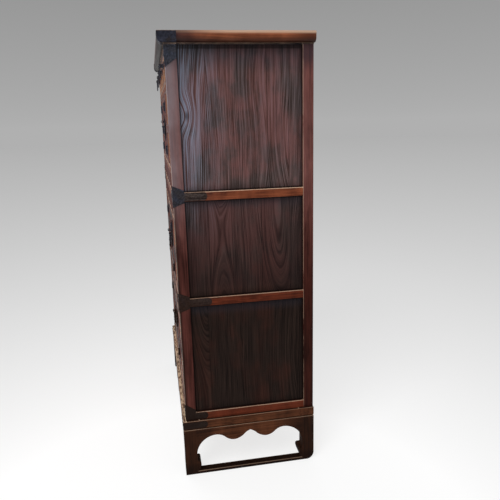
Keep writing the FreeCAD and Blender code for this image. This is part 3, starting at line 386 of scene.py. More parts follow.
SOCKETS = {"value": "NodeSocketFloat", "vector": "NodeSocketVector", "colour": "NodeSocketColor"}


def new_group(name, inputs, outputs):
    """An empty shader group with named sockets: (wires, its inputs, the node to feed)."""
    tree = bpy.data.node_groups.new(name, "ShaderNodeTree")
    for label, (kind, default) in inputs.items():
        socket = tree.interface.new_socket(label, in_out="INPUT", socket_type=SOCKETS[kind])
        socket.default_value = default
    for label, kind in outputs.items():
        tree.interface.new_socket(label, in_out="OUTPUT", socket_type=SOCKETS[kind])
    wires = Wires(tree)
    return wires, tree.nodes.new("NodeGroupInput").outputs, tree.nodes.new("NodeGroupOutput").inputs


def make_board_group():
    """Where a point lies on its own board, read from the layout that each board carries."""
    outputs = {"Place": "vector", "Edge": "value", "Top": "value", "Far": "value"}
    wires, _, out = new_group("Board Layout", {}, outputs)
    place = wires.node("ShaderNodeAttribute", attribute_name="board_place").outputs["Vector"]
    low = wires.node("ShaderNodeAttribute", attribute_name="from_low").outputs["Vector"]
    high = wires.node("ShaderNodeAttribute", attribute_name="from_high").outputs["Vector"]
    near = wires.split(wires.vector("MINIMUM", low, high))
    least = wires.math("MINIMUM", near[0], near[1])
    most = wires.most(near[0], near[1])
    wires.feed(out["Edge"], wires.most(least, wires.math("MINIMUM", most, near[2])))
    wires.feed(out["Top"], wires.split(high)[2])
    wires.feed(out["Place"], place)
    wires.feed(out["Far"], wires.split(low)[1])


def make_grain_group():
    """Growth rings, fibres and streaks along a board, with the glue lines between its strips."""
    inputs = {
        "Place": ("vector", (0, 0, 0)),
        "Ring width": ("value", 0.008),
        "Strip width": ("value", 0.1),
        "Waviness": ("value", 1.0),
        "Push": ("value", 0.0),
        "Spread": ("value", 0.36),
    }
    outputs = dict.fromkeys(("Rings", "Fibres", "Streaks", "Joint", "Strip"), "value")
    wires, given, out = new_group("Board Grain", inputs, outputs)
    place = given["Place"]
    across, depth, along = wires.split(place)
    strip = {"W": wires.math("DIVIDE", across, given["Strip width"]), "Scale": 1.0}
    cells = wires.node("ShaderNodeTexVoronoi", strip, voronoi_dimensions="1D").outputs
    seams = {"voronoi_dimensions": "1D", "feature": "DISTANCE_TO_EDGE"}
    seam = wires.node("ShaderNodeTexVoronoi", strip, **seams).outputs["Distance"]
    tint = wires.node("ShaderNodeSeparateColor", {0: cells["Color"]}).outputs
    shift = wires.lengthen(cells["Color"], 9.0)
    shifted = wires.vector("ADD", place, shift)

    # The heart of the tree lies aside of each strip and some way deeper, and sways along it.
    heart = wires.times(cells["W"], given["Strip width"])
    offset = wires.times(wires.minus(tint[1], 0.5), given["Spread"])
    aside = wires.plus(wires.minus(across, heart), offset)
    sway = wires.minus(wires.noise(shifted, (7.0, 7.0, 1.5), 2.0), 0.5)
    aside = wires.scaled(sway, 0.018, aside)
    deep = wires.noise(shifted, (1.3, 1.3, 1.3), 1.0)
    deep = wires.span(deep, 0.25, 0.75, 0.004, 0.10, smooth=False)
    squares = wires.plus(wires.math("POWER", aside, 2.0), wires.math("POWER", deep, 2.0))
    radius = wires.math("SQRT", squares)
    wobble = wires.minus(wires.noise(shifted, (34, 34, 6), 3.0, 0.6), 0.5)
    radius = wires.scaled(wires.times(wobble, given["Waviness"]), 0.0065, radius)
    radius = wires.plus(radius, given["Push"])

    # Rings are uneven in width, dense in their late wood, and fade in places.
    uneven = wires.noise(wires.join(radius, 0.0, tint[0]), (85, 1, 7), 2.0)
    turns = wires.scaled(uneven, 1.1, wires.math("DIVIDE", radius, given["Ring width"]))
    turn = wires.math("FRACT", turns)
    late = wires.times(wires.math("POWER", turn, 2.0), wires.span(turn, 0.82, 1.0, 1.0, 0.0))
    fade = wires.span(wires.noise(shifted, (26, 26, 2.4), 2.0), 0.34, 0.62, 0.25, 1.0)
    wires.feed(out["Rings"], wires.times(late, fade))
    on_ring = wires.vector("ADD", wires.join(radius, wires.times(depth, 0.5), along), shift)
    fibres = wires.noise(on_ring, (460, 460, 5.0), 2.0, 0.6)
    wires.feed(out["Fibres"], wires.span(fibres, 0.34, 0.66, smooth=False))
    wires.feed(out["Streaks"], wires.noise(on_ring, (100, 100, 1.6), 3.0, 0.6))
    wires.feed(out["Joint"], wires.span(seam, 0.004, 0.016, 1.0, 0.0))
    wires.feed(out["Strip"], tint[0])


def make_wear_and_glint_group():
    """Arrises: a broken worn line along the edges of a board, and a painted highlight along its top."""
    inputs = {
        "Place": ("vector", (0, 0, 0)),
        "Edge": ("value", 1.0),
        "Top": ("value", 1.0),
        "Width": ("value", 0.002),
        "Top width": ("value", 0.0),
    }
    wires, given, out = new_group("Edge Wear and Glint", inputs, {"Wear and glint": "value"})
    patches = wires.noise(given["Place"], (30, 30, 12), 3.0, 0.65)
    ragged = wires.times(wires.minus(patches, 0.28), 2.4, clamp=True)
    reach = wires.times(given["Width"], wires.plus(ragged, 0.2))
    line = wires.span(wires.minus(given["Edge"], reach), -0.0008, 0.0008, 1.0, 0.0)
    line = wires.times(line, ragged)
    # Painted highlight: a line along the top, where the edge would catch light from above.
    reach = wires.times(given["Top width"], wires.plus(ragged, 0.55))
    ledge = wires.span(wires.minus(given["Top"], reach), -0.0012, 0.0012, 1.0, 0.0)
    ledge = wires.times(ledge, wires.span(given["Edge"], 0.0012, 0.0028, 1.0, 0.0))
    wires.feed(out["Wear and glint"], wires.most(line, ledge))


def make_light_and_tone_group():
    """How light and time tone a face: painted sheen high up near the front, painted shade low down
    and under the top board, and random clouding everywhere. Upward tells the faces that look up."""
    outputs = dict.fromkeys(("Sheen", "Shadowed", "Shaded", "Cloud", "Upward"), "value")
    wires, _, out = new_group("Painted Light and Tone", {}, outputs)
    coordinates = wires.node("ShaderNodeTexCoord").outputs
    place = coordinates["Object"]
    facing = wires.split(coordinates["Normal"])
    _, y, z = wires.split(place)
    cloud = wires.noise(place, (5, 5, 3), 3.0, 0.6)
    drift = wires.times(wires.minus(cloud, 0.5), 0.5)
    # Painted sheen: faces that look sideways, high up and near the front, turn blue-grey as if reflecting
    # daylight.
    high = wires.span(wires.plus(z, drift), 0.72, 1.40)
    front = wires.span(wires.scaled(drift, 0.2, y), -0.225, -0.03, 1.0, 0.12)
    high = wires.times(high, wires.span(wires.size(facing[0]), 0.4, 0.8))
    wires.feed(out["Sheen"], wires.times(high, front, clamp=True))
    # Painted shade: faces are darker low down, as if less light reached them, and less so at the front.
    shadowed = wires.span(wires.scaled(drift, 0.3, z), 0.66, 1.22, 1.0, 0.0)
    wires.feed(out["Shadowed"], wires.times(shadowed, wires.span(y, -0.24, -0.1, 0.6, 1.0)))
    shade = wires.span(wires.minus(CASE_TOP, z), 0.03, 0.10, 1.0, 0.0)
    on_case = wires.math("LESS_THAN", z, CASE_TOP + 0.001)
    wires.feed(out["Shaded"], wires.times(shade, on_case))
    mottle = wires.noise(place, (24, 24, 9), 4.0, 0.6)
    wires.feed(out["Cloud"], wires.scaled(mottle, 0.6, wires.times(cloud, 0.4)))
    wires.feed(out["Upward"], wires.span(facing[2], 0.5, 0.9))


def make_hammer_group():
    """Forged iron: hammer facets and pitting, brown oxide, rubbed spots and flakes of scale."""
    outputs = dict.fromkeys(("Height", "Oxide", "Rubbed", "Scale"), "value")
    wires, _, out = new_group("Hammered Iron", {}, outputs)
    place = wires.here()
    facets = wires.node("ShaderNodeTexVoronoi", {"Vector": place, "Scale": 95.0}, feature="SMOOTH_F1")
    facets.inputs["Smoothness"].default_value = 0.6
    pits = wires.noise(place, (420, 420, 420), 4.0, 0.7)
    cloud = wires.noise(place, (46, 46, 46), 4.0, 0.65)
    wide = wires.noise(place, (13, 13, 13), 2.0, 0.5)
    height = wires.scaled(pits, 0.35, facets.outputs["Distance"])
    wires.feed(out["Height"], height)
    wires.feed(out["Oxide"], wires.span(wires.scaled(wide, 0.6, cloud), 0.68, 0.95))
    wires.feed(out["Rubbed"], wires.span(wires.scaled(pits, 0.5, cloud), 0.86, 1.02))
    flakes = wires.noise(place, (130, 130, 130), 3.0, 0.65)
    wires.feed(out["Scale"], wires.span(flakes, 0.36, 0.64))


def make_burl_group():
    """The swirling figure of burl, with small dark eyes."""
    inputs = {"Place": ("vector", (0, 0, 0))}
    outputs = {"Figure": "value", "Bands": "value", "Eyes": "value"}
    wires, given, out = new_group("Burl Figure", inputs, outputs)
    place = given["Place"]
    curls = {"Vector": place, "Scale": 14.0, "Detail": 3.0, "Roughness": 0.55}
    swirl = wires.node("ShaderNodeTexNoise", curls).outputs["Color"]
    warped = wires.vector("ADD", place, wires.lengthen(swirl, 0.16))
    wires.feed(out["Figure"], wires.noise(warped, (26, 26, 26), 4.0, 0.6, 0.8))
    waves = {"Vector": warped, "Scale": 34.0, "Distortion": 7.0, "Detail": 3.0}
    wires.feed(out["Bands"], wires.node("ShaderNodeTexWave", waves).outputs["Fac"])
    eyes = wires.node("ShaderNodeTexVoronoi", {"Vector": warped, "Scale": 52.0, "Randomness": 1.0})
    crowd = wires.span(wires.noise(place, (17, 17, 17), 1.0), 0.45, 0.62)
    dots = wires.span(eyes.outputs["Distance"], 0.10, 0.30, 1.0, 0.0)
    wires.feed(out["Eyes"], wires.times(dots, crowd))


# Finishes


def new_material(name, specular, coat=0.0, coat_roughness=0.3):
    """A material with one Principled shader: (wires, the shader)."""
    made = bpy.data.materials.new(name)
    made.use_nodes = True
    shader = made.node_tree.nodes["Principled BSDF"]
    shader.inputs["Specular IOR Level"].default_value = specular
    shader.inputs["Coat Weight"].default_value = coat
    shader.inputs["Coat Roughness"].default_value = coat_roughness
    materials[name] = made
    return Wires(made.node_tree), shader


def bump(wires, shader, height, distance, strength=1.0):
    """Let a height roughen how light falls on a finish."""
    made = wires.node("ShaderNodeBump", {"Height": height, "Distance": distance, "Strength": strength})
    wires.feed(shader.inputs["Normal"], made.outputs["Normal"])


def edge_wear_and_glint(wires, board, width, top_width=0.0):
    """Where the edges of a board are worn, and the painted highlight along its top."""
    known = {"place": board["Place"], "edge": board["Edge"], "top": board["Top"]}
    return wires.group("Edge Wear and Glint", **known, width=width, top_width=top_width)["Wear and glint"]


def close_grain(wires, grain, mottle, contrast, ground):
    """How light close polished grain is, from 0 to 1, with mottling over it."""
    mixed = wires.scaled(grain["Rings"], -0.25, wires.times(grain["Streaks"], 0.7))
    mixed = wires.scaled(grain["Fibres"], 0.4, mixed)
    return wires.scaled(mottle, contrast, wires.minus(mixed, ground), clamp=True)


def grain_bump(wires, shader, grain, strength):
    """Fibres that stand a little up, with the rings sunk between them."""
    bump(wires, shader, wires.scaled(grain["Rings"], -0.5, grain["Fibres"]), 0.0003, strength)


def stand_marks(wires, upward):
    """Darkening on the stand, painted shade on faces that look up and darker towards the feet and on
    the legs, and painted glints on the ledge before the case: (dirt_and_shade, ledge).
    """
    place = wires.here()
    _, y, z = wires.split(place)
    legs = wires.times(wires.span(wires.size(y), 0.10, 0.20), wires.span(z, 0.18, 0.2, 0.68, 0.0))
    # Faces that look up are darkened as painted shade; the feet and legs are darker too.
    dirt_and_shade = wires.most(wires.times(upward, 0.7), wires.span(z, 0.02, 0.12, 0.85, 0.0), legs)
    # Painted glint: the top of the ledge before the case is streaked pale as if reflecting light.
    before = wires.math("LESS_THAN", y, CASE_FRONT + 0.001)
    ledge = wires.times(wires.times(before, wires.math("GREATER_THAN", z, 0.2)), upward)
    glint_streaks = wires.noise(place, (34, 160, 30), 4.0, 0.7)
    dirt_and_shade = wires.times(dirt_and_shade, wires.minus(1.0, ledge))
    return dirt_and_shade, wires.times(ledge, wires.span(glint_streaks, 0.40, 0.60, 0.05, 0.95))


def corner_marks(wires, upward):
    """Darkening on the case's frame and pale lines down its corners: (dirt_and_shade, worn). The
    darkening is painted shade on faces that look up and on the rear posts low down, with a dark rim
    near the front lower down; the lines are worn arrises painted brighter high up, and a painted
    glint down the rear posts' edge.
    """
    place = wires.here()
    x, y, z = wires.split(place)
    aside = wires.minus(CASE_SIDE, wires.size(x))
    back = wires.minus(y, CASE_FRONT)
    patches = wires.noise(place, (30, 30, 14), 3.0, 0.65)
    line = wires.span(wires.most(aside, back), 0.0008, 0.0022, 1.0, 0.0)
    line = wires.times(line, wires.span(patches, 0.3, 0.6))
    # Painted highlight: the corner line fades lower down.
    line = wires.times(line, wires.span(z, 0.85, 1.15, 0.3, 1.0))
    # Painted glint along the rear posts' edge beside the panels.
    rear = wires.most(wires.size(wires.minus(y, REAR_POSTS + 0.0006)), wires.minus(aside, 0.0005))
    glint = wires.times(wires.span(rear, 0.0006, 0.0016, 0.5, 0.0), wires.span(patches, 0.3, 0.55))
    rim = wires.times(wires.span(back, 0.002, 0.013, 0.75, 0.0), wires.span(z, 0.9, 1.2, 1.0, 0.0))
    # Painted shade: the rear posts are darker low down, away from the light at the front.
    behind = wires.times(wires.span(y, 0.10, 0.20, 0.0, 0.32), wires.span(z, 0.35, 0.85, 1.0, 0.0))
    return wires.most(wires.times(upward, 0.7), rim, behind), wires.most(line, glint)


def frame_material(name, high, low, worn_width=0.0, top_width=0.0, sheen=0.55, kind="rail"):
    """Red-brown frame wood: close grain, worn arrises with painted highlights, painted sheen high up
    and painted shade low down. high and low are (dark, light) pairs of colours for the grain at the
    top and at the bottom; the low pair is painted shade.
    kind is corner for the case's posts and stiles, stand for the stand, and otherwise rail."""
    colours = bpy.context.scene.chest_colours
    wires, shader = new_material(name, 0.04, coat_roughness=0.16)
    board = wires.group("Board Layout")
    layout = {"ring_width": 0.0045, "strip_width": 0.9, "waviness": 0.7, "spread": 0.9}
    grain = wires.group("Board Grain", place=board["Place"], **layout)
    light_and_tone = wires.group("Painted Light and Tone")
    mixed = close_grain(wires, grain, light_and_tone["Cloud"], 1.5, 0.78)
    # Painted sheen high up near the front.
    sheened = wires.times(light_and_tone["Sheen"], sheen)
    if kind == "corner":
        front = wires.span(board["Far"], 0.0, 0.036, 1.7, 0.75, smooth=False)
        patchy = wires.span(light_and_tone["Cloud"], 0.38, 0.62, 0.72, 1.2)
        sheened = wires.times(wires.times(sheened, front), patchy, clamp=True)
        dirt_and_shade, worn = corner_marks(wires, light_and_tone["Upward"])
    elif kind == "stand":
        dirt_and_shade, ledge = stand_marks(wires, light_and_tone["Upward"])
        worn = edge_wear_and_glint(wires, board, worn_width, top_width)
    else:
        # Painted shade: faces that look up are darkened.
        dirt_and_shade = wires.times(light_and_tone["Upward"], 0.7)
        worn = edge_wear_and_glint(wires, board, worn_width, top_width)
    skin = wires.blend(mixed, *high)
    skin = wires.blend(sheened, skin, colours.sheen)
    # Painted shade: lower down the grain takes the darker low colours.
    skin = wires.blend(light_and_tone["Shadowed"], skin, wires.blend(mixed, *low))
    skin = wires.blend(wires.times(light_and_tone["Shaded"], 0.6), skin, colours.shade)
    # The darkening from the marks: painted shade, and darker feet on the stand.
    skin = wires.blend(dirt_and_shade, skin, colours.soot_and_shade)
    # Painted shade: the pale edge colour sinks into the wood's own lower down.
    edge = wires.blend(wires.times(light_and_tone["Shadowed"], 0.42), colours.arris, skin)
    if kind == "corner":
        # Painted highlight: the corners' pale line turns blue-white high up near the front.
        bright = wires.times(light_and_tone["Sheen"], 0.8, clamp=True)
        edge = wires.blend(bright, edge, colours.sheen_bright)
    # worn holds worn arrises and the painted highlights along tops and corners.
    skin = wires.blend(wires.times(worn, 0.5 if kind == "stand" else 0.92), skin, edge)
    if kind == "stand":
        # Painted glints on the front ledge.
        skin = wires.blend(ledge, skin, colours.ledge_glint)
    else:
        forward = wires.split(wires.node("ShaderNodeTexCoord").outputs["Normal"])[1]
        polish = wires.times(wires.span(forward, -0.9, -0.6, 0.06, 0.0), wires.span(mixed, 0.2, 0.7))
        wires.feed(shader.inputs["Coat Weight"], polish)
    wires.feed(shader.inputs["Base Color"], skin)
    rough = wires.span(grain["Streaks"], 0.3, 0.7, 0.36, 0.5)
    wires.feed(shader.inputs["Roughness"], wires.scaled(worn, 0.18, rough))
    grain_bump(wires, shader, grain, 0.8)


def board_material():
    """The top board: its ends are cleats whose grain runs across. It is darker near the front and the
    rear, painted shade darkens its lower edge, and a painted highlight lies on its rounded upper edge."""
    colours = bpy.context.scene.chest_colours
    wires, shader = new_material("board_wood", 0.08, coat_roughness=0.2)
    board = wires.group("Board Layout")
    place = wires.here()
    x, y, z = wires.split(place)
    from_middle = wires.size(x)
    across, depth, along = wires.split(board["Place"])
    cleat = wires.math("GREATER_THAN", from_middle, CLEAT_EDGE)
    turned = wires.join(wires.plus(along, depth), 0.0, across)
    laid = wires.blend(cleat, board["Place"], turned, kind="Vector")
    layout = {"ring_width": 0.0065, "strip_width": 0.26, "waviness": 0.8, "spread": 0.4}
    grain = wires.group("Board Grain", place=laid, **layout)
    worn = edge_wear_and_glint(wires, board, 0.0010)
    mottle = wires.noise(place, (16, 16, 16), 4.0, 0.62)
    mixed = close_grain(wires, grain, mottle, 1.1, 0.50)
    skin = wires.blend(mixed, colours.board_dark, colours.board_light)
    front = wires.span(wires.scaled(mottle, 0.06, y), -0.19, -0.02, 0.95, 0.0)
    skin = wires.blend(front, skin, colours.board_front)
    rear = wires.span(wires.scaled(mottle, 0.08, y), 0.19, 0.29, 0.0, 0.75)
    skin = wires.blend(rear, skin, colours.board_dark)
    # Painted shade: the lower rounding turns near black, as the underside gets little light.
    above = wires.minus(wires.scaled(mottle, 0.003, z), BOARD_FOOT)
    skin = wires.blend(wires.span(above, 0.0, 0.025, 0.92, 0.0, smooth=False), skin, colours.soot_and_shade)
    joint = wires.times(grain["Joint"], wires.scaled(cleat, -0.5, 0.5))
    seam = wires.span(wires.size(wires.minus(from_middle, CLEAT_EDGE)), 0.0003, 0.001, 0.8, 0.0)
    skin = wires.blend(wires.most(joint, seam), skin, colours.soot_and_shade)
    # Painted highlight on the rounded upper part of the sides, away from the front; worn edges are paler too.
    upward = wires.group("Painted Light and Tone")["Upward"]
    rounded = wires.span(wires.minus(z, BOARD_FOOT), 0.023, 0.032, 0.0, 0.8)
    glow = wires.times(rounded, wires.span(y, -0.2, 0.0, 0.2, 1.0))
    glow = wires.times(glow, wires.minus(1.0, upward))
    skin = wires.blend(wires.most(glow, wires.times(worn, 0.5)), skin, colours.arris)
    wires.feed(shader.inputs["Base Color"], skin)
    wires.feed(shader.inputs["Roughness"], wires.span(grain["Streaks"], 0.3, 0.7, 0.32, 0.5))
    wires.feed(shader.inputs["Coat Weight"], wires.span(mottle, 0.3, 0.7, 0.05, 0.2))
    grain_bump(wires, shader, grain, 0.7)


def panel_material():
    """Brushed side boards: the soft wood is worn away and the growth rings stand up."""
    scene = bpy.context.scene
    colours, sizes = scene.chest_colours, scene.chest_sizes
    wires, shader = new_material("panel_wood", 0.05)
    board = wires.group("Board Layout")
    light_and_tone = wires.group("Painted Light and Tone")
    place = wires.here()
    _, y, z = wires.split(place)

    # The rings bend round a knot in the upper panel.
    knot = wires.join(0.0, y, wires.times(z, KNOT_STRETCH))
    knot = wires.distance(knot, (KNOT[0], KNOT[1], KNOT[2] * KNOT_STRETCH))
    push = wires.times(wires.span(knot, 0.0, 0.050, 1.0, 0.0), 0.019)
    layout = {"ring_width": sizes.ring_line, "strip_width": sizes.board_width, "waviness": 0.6}
    grain = wires.group("Board Grain", place=board["Place"], push=push, **layout)
    base = wires.scaled(grain["Streaks"], 0.22, wires.scaled(grain["Fibres"], 0.66, -0.12))
    ridge = wires.scaled(grain["Rings"], 0.40, base, clamp=True)
    skin = wires.blend(ridge, colours.panel_dark, colours.panel_light)

    # Red patches, most of them in the middle of the upper panel.
    patches = wires.noise(place, (9, 9, 6), 4.0, 0.6)
    rosy = wires.distance(wires.join(0.0, y, z), (0.0, 0.03, 1.28))
    red = wires.scaled(grain["Strip"], 0.10, patches)
    red = wires.plus(red, wires.span(rosy, 0.02, 0.24, 0.10, 0.0))
    red = wires.times(wires.span(red, 0.42, 0.66), wires.span(ridge, 0.1, 0.6, 0.3, 0.75))
    skin = wires.blend(red, skin, colours.panel_red)

    # Green-black patches, more of them to the rear and at the top.
    moss = wires.scaled(wires.span(y, -0.10, 0.20), 0.10, wires.span(z, 1.35, 1.5, 0.0, 0.08))
    moss = wires.span(wires.minus(patches, moss), 0.50, 0.30, 0.0, 0.42)
    moss = wires.times(moss, wires.span(ridge, 0.3, 0.9, 1.0, 0.7))
    skin = wires.blend(moss, skin, colours.panel_moss)
    # Painted highlight: high up near the front the raised grain is painted blue-grey, as if it caught the
    # daylight.
    lit = wires.times(light_and_tone["Sheen"], wires.span(ridge, 0.15, 0.75, 0.0, 0.85), clamp=True)
    skin = wires.blend(lit, skin, colours.sheen_bright)

    # Lower down the boards take darker colours as painted shade, with faint rings and rusty patches.
    faint = wires.scaled(grain["Rings"], 0.14, base, clamp=True)
    low = wires.blend(faint, colours.panel_low_dark, colours.panel_low_light)
    rusty = wires.span(wires.noise(place, (8, 8, 4), 3.0, 0.6), 0.44, 0.66, 0.0, 0.6)
    rusty = wires.times(rusty, wires.span(ridge, 0.2, 0.8, 0.5, 1.0))
    low = wires.blend(rusty, low, colours.panel_low_red)
    skin = wires.blend(wires.span(z, 0.60, 1.16, 1.0, 0.0), skin, low)
    middle = wires.times(wires.span(z, 0.7, 0.76), wires.span(z, 1.07, 1.1, 1.0, 0.0))
    skin = wires.blend(wires.times(middle, 0.42), skin, colours.panel_dark)

    # Shade hangs under the top board and under the upper two rails.
    skin = wires.blend(wires.times(light_and_tone["Shaded"], 0.45), skin, colours.shade)
    for top in RAIL_TOPS[1:]:
        drop = wires.minus(top - RAIL_HEIGHT, z)
        below = wires.math("GREATER_THAN", drop, -0.002)
        hang = wires.times(below, wires.span(drop, 0.0, 0.05, 0.5, 0.0))
        skin = wires.blend(hang, skin, colours.shade)

    # Grime lies in the joints and on the knot, and painted shade darkens the panel's edges in the frame's
    # recess.
    skin = wires.blend(wires.times(grain["Joint"], 0.35), skin, colours.soot_and_shade)
    skin = wires.blend(wires.span(knot, 0.002, 0.012, 0.6, 0.0), skin, colours.soot_and_shade)
    edge = wires.span(board["Edge"], 0.0125, 0.0148, 0.7, 0.0)
    wide = wires.span(board["Edge"], 0.012, 0.040, 0.3, 0.0)
    skin = wires.blend(wires.most(edge, wide), skin, colours.soot_and_shade)
    wires.feed(shader.inputs["Base Color"], skin)
    wires.feed(shader.inputs["Roughness"], wires.span(ridge, 0.0, 1.0, 0.62, 0.42))
    wires.feed(shader.inputs["Coat Weight"], wires.times(light_and_tone["Sheen"], 0.25))
    bump(wires, shader, wires.minus(ridge, wires.times(grain["Joint"], 0.6)), 0.0014, 1.0)


def plain_material(name, light, dark, ring_width, strip_width):
    """Plain unpolished wood for the inside, the drawers' boxes and the back."""
    colours = bpy.context.scene.chest_colours
    wires, shader = new_material(name, 0.25)
    board = wires.group("Board Layout")
    layout = {"ring_width": ring_width, "strip_width": strip_width}
    grain = wires.group("Board Grain", place=board["Place"], **layout)
    mixed = wires.scaled(grain["Rings"], 0.5, wires.times(grain["Streaks"], 0.6))
    mixed = wires.scaled(grain["Fibres"], 0.3, wires.minus(mixed, 0.15), clamp=True)
    skin = wires.blend(mixed, light, dark)
    skin = wires.blend(wires.times(grain["Strip"], 0.22), skin, dark)
    skin = wires.blend(wires.times(grain["Joint"], 0.6), skin, colours.soot_and_shade)
    skin = wires.blend(wires.span(board["Edge"], 0.001, 0.02, 0.4, 0.0), skin, colours.soot_and_shade)
    wires.feed(shader.inputs["Base Color"], skin)
    wires.feed(shader.inputs["Roughness"], wires.span(grain["Streaks"], 0.3, 0.7, 0.6, 0.8))
    bump(wires, shader, wires.plus(grain["Fibres"], grain["Rings"]), 0.0003, 0.7)


def burl_material():
    """Polished burl for the small panels, the doors' panels and the drawers' faces."""
    colours = bpy.context.scene.chest_colours
    wires, shader = new_material("burl_wood", 0.1, coat_roughness=0.14)
    board = wires.group("Board Layout")
    burl = wires.group("Burl Figure", place=board["Place"])
    figure = wires.span(burl["Figure"], 0.34, 0.66, 0.0, 0.75)
    mixed = wires.scaled(burl["Bands"], 0.35, figure)
    skin = wires.blend(mixed, colours.burl_deep, colours.burl_light)
    skin = wires.blend(wires.times(burl["Eyes"], 0.85), skin, colours.burl_eye)
    skin = wires.blend(wires.span(board["Edge"], 0.001, 0.012, 0.5, 0.0), skin, colours.burl_eye)
    wires.feed(shader.inputs["Base Color"], skin)
    wires.feed(shader.inputs["Roughness"], wires.span(burl["Figure"], 0.3, 0.7, 0.42, 0.26))
    z = wires.split(wires.here())[2]
    wires.feed(shader.inputs["Coat Weight"], wires.span(z, 0.35, 0.80, 0.5, 0.06))
    bump(wires, shader, wires.minus(burl["Bands"], burl["Eyes"]), 0.0004, 0.9)


def bead_material():
    """Dark close wood for the thin beads, which carry no board layout."""
    colours = bpy.context.scene.chest_colours
    wires, shader = new_material("bead_wood", 0.3, coat=0.3, coat_roughness=0.2)
    place = wires.here()
    streaks = wires.noise(place, (45, 45, 45), 4.0, 0.65)
    fibres = wires.noise(place, (300, 300, 300), 3.0, 0.6)
    mixed = wires.scaled(fibres, 0.4, wires.minus(streaks, 0.2), clamp=True)
    wires.feed(shader.inputs["Base Color"], wires.blend(mixed, colours.frame_dark, colours.frame_light))
    wires.feed(shader.inputs["Roughness"], wires.span(streaks, 0.3, 0.7, 0.3, 0.5))
    bump(wires, shader, fibres, 0.0001, 0.5)


def iron_material(name, worn):
    """Forged iron, blue-black with brown oxide, browner and darker low down with painted shade, a faint
    painted sheen high up on the case, and rubbed brighter where hands reach it and along the straps' arms."""
    colours = bpy.context.scene.chest_colours
    wires, shader = new_material(name, 0.08)
    iron = wires.group("Hammered Iron")
    place = wires.here()
    _, y, z = wires.split(place)
    skin = wires.blend(iron["Oxide"], colours.iron, colours.iron_brown)
    skin = wires.blend(wires.times(iron["Rubbed"], worn), skin, colours.iron_worn)
    # Browner and darker low down: oxide, and painted shade.
    skin = wires.blend(wires.span(z, 0.62, 1.04, 1.0, 0.0), skin, colours.iron_low)
    # Painted sheen: a faint blue-grey high up on the case's straps.
    iron_sheen = wires.times(wires.span(z, 0.95, 1.25, 0.0, 0.09), wires.math("LESS_THAN", z, CASE_TOP))
    skin = wires.blend(iron_sheen, skin, colours.sheen_bright)
    arm = wires.times(wires.span(y, -0.205, -0.19), wires.span(z, 1.12, 1.3, 0.85, 0.0))
    arm = wires.times(arm, wires.span(z, 0.65, 1.05, 0.12, 1.0))
    brushed = wires.span(wires.noise(place, (60, 14, 160), 3.0, 0.6), 0.35, 0.7)
    brushed = wires.blend(brushed, colours.iron_low, colours.iron_rubbed)
    skin = wires.blend(arm, skin, brushed)
    # Flakes of scale, and painted shade darkening the iron towards the bottom.
    scale_and_shade = wires.most(wires.times(iron["Scale"], 0.42), wires.span(z, 0.3, 0.6, 0.55, 0.0))
    skin = wires.blend(scale_and_shade, skin, colours.soot_and_shade)
    wires.feed(shader.inputs["Base Color"], skin)
    bare = wires.scaled(iron["Oxide"], -0.45, 0.8)
    wires.feed(shader.inputs["Metallic"], wires.times(bare, wires.span(z, 0.7, 1.1)))
    wires.feed(shader.inputs["Roughness"], wires.span(iron["Oxide"], 0.0, 1.0, 0.42, 0.66))
    bump(wires, shader, iron["Height"], 0.0007, 1.0)


def floor_material():
    """The studio floor, brightest by the chest. To the camera most of its light is its own, and
    the rest keeps the chest's shadow."""
    wires, shader = new_material("studio_floor", 0.1)
    away = wires.distance(wires.here(), (0.9, -0.2, 0.0))
    near = wires.math("DIVIDE", 2.51, wires.plus(wires.most(away, 0.85), 1.66))
    bright = wires.math("POWER", wires.scaled(near, 0.352, 0.655), 2.2)
    shown = wires.blend(bright, (0, 0, 0), bpy.context.scene.chest_colours.floor)
    wires.feed(shader.inputs["Base Color"], shown)
    shader.inputs["Roughness"].default_value = 0.9
    lit = wires.node("ShaderNodeEmission", {"Color": shown, "Strength": 1.06})
    seen = wires.node("ShaderNodeLightPath").outputs["Is Camera Ray"]
    parts = {0: wires.times(seen, 0.7), 1: shader.outputs[0], 2: lit.outputs[0]}
    mix = wires.node("ShaderNodeMixShader", parts)
    wires.feed(wires.tree.nodes["Material Output"].inputs["Surface"], mix.outputs[0])


# Boards and their layout


def extent(mesh, faces):
    """The low and the high corner of some faces of a mesh."""
    corners = [mesh.vertices[index].co for face in faces for index in face.vertices]
    low = Vector([min(corner[axis] for corner in corners) for axis in range(3)])
    high = Vector([max(corner[axis] for corner in corners) for axis in range(3)])
    return low, high


def solids_of(mesh, key=None):
    """The faces of each solid of a mesh. Faces that share a corner's place belong together, but
    only where the key, a rule on a face's middle, says the same of both."""
    owner = {}

    def root(item):
        while owner[item] != item:
            owner[item] = owner[owner[item]]
            item = owner[item]
        return item

    tags = []
    for face in mesh.polygons:
        mark = key(face.center) if key else 0
        spots = [(mark, *(round(part * 20000) for part in mesh.vertices[i].co)) for i in face.vertices]
        for spot in spots:
            owner.setdefault(spot, spot)
            owner[root(spot)] = root(spots[0])
        tags.append(spots[0])
    solids = {}
    for face, tag in zip(mesh.polygons, tags):
        solids.setdefault(root(tag), []).append(face)
    return list(solids.values())


def members_of(node, axis, width):
    """A rule that tells the members of a rectangular frame apart: the two that run right
    through, at the ends along an axis, from those between them. Where these two are the front
    and the back, those between are told apart too, left from right."""
    low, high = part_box(node)
    inside = width + 0.0001

    def rule(centre):
        if centre[axis] < low[axis] + inside:
            return "first"
        if centre[axis] > high[axis] - inside:
            return "last"
        return "between", axis == 1 and centre[0] > (low[0] + high[0]) / 2

    return rule


def longest(low, high, axes=AXES):
    """The axis along which a board is longest."""
    return max(axes, key=lambda axis: high[AXES.index(axis)] - low[AXES.index(axis)])


def longest_in_front(low, high):
    """The axis along which a piece in the front is longest, across or up."""
    return longest(low, high, "xz")


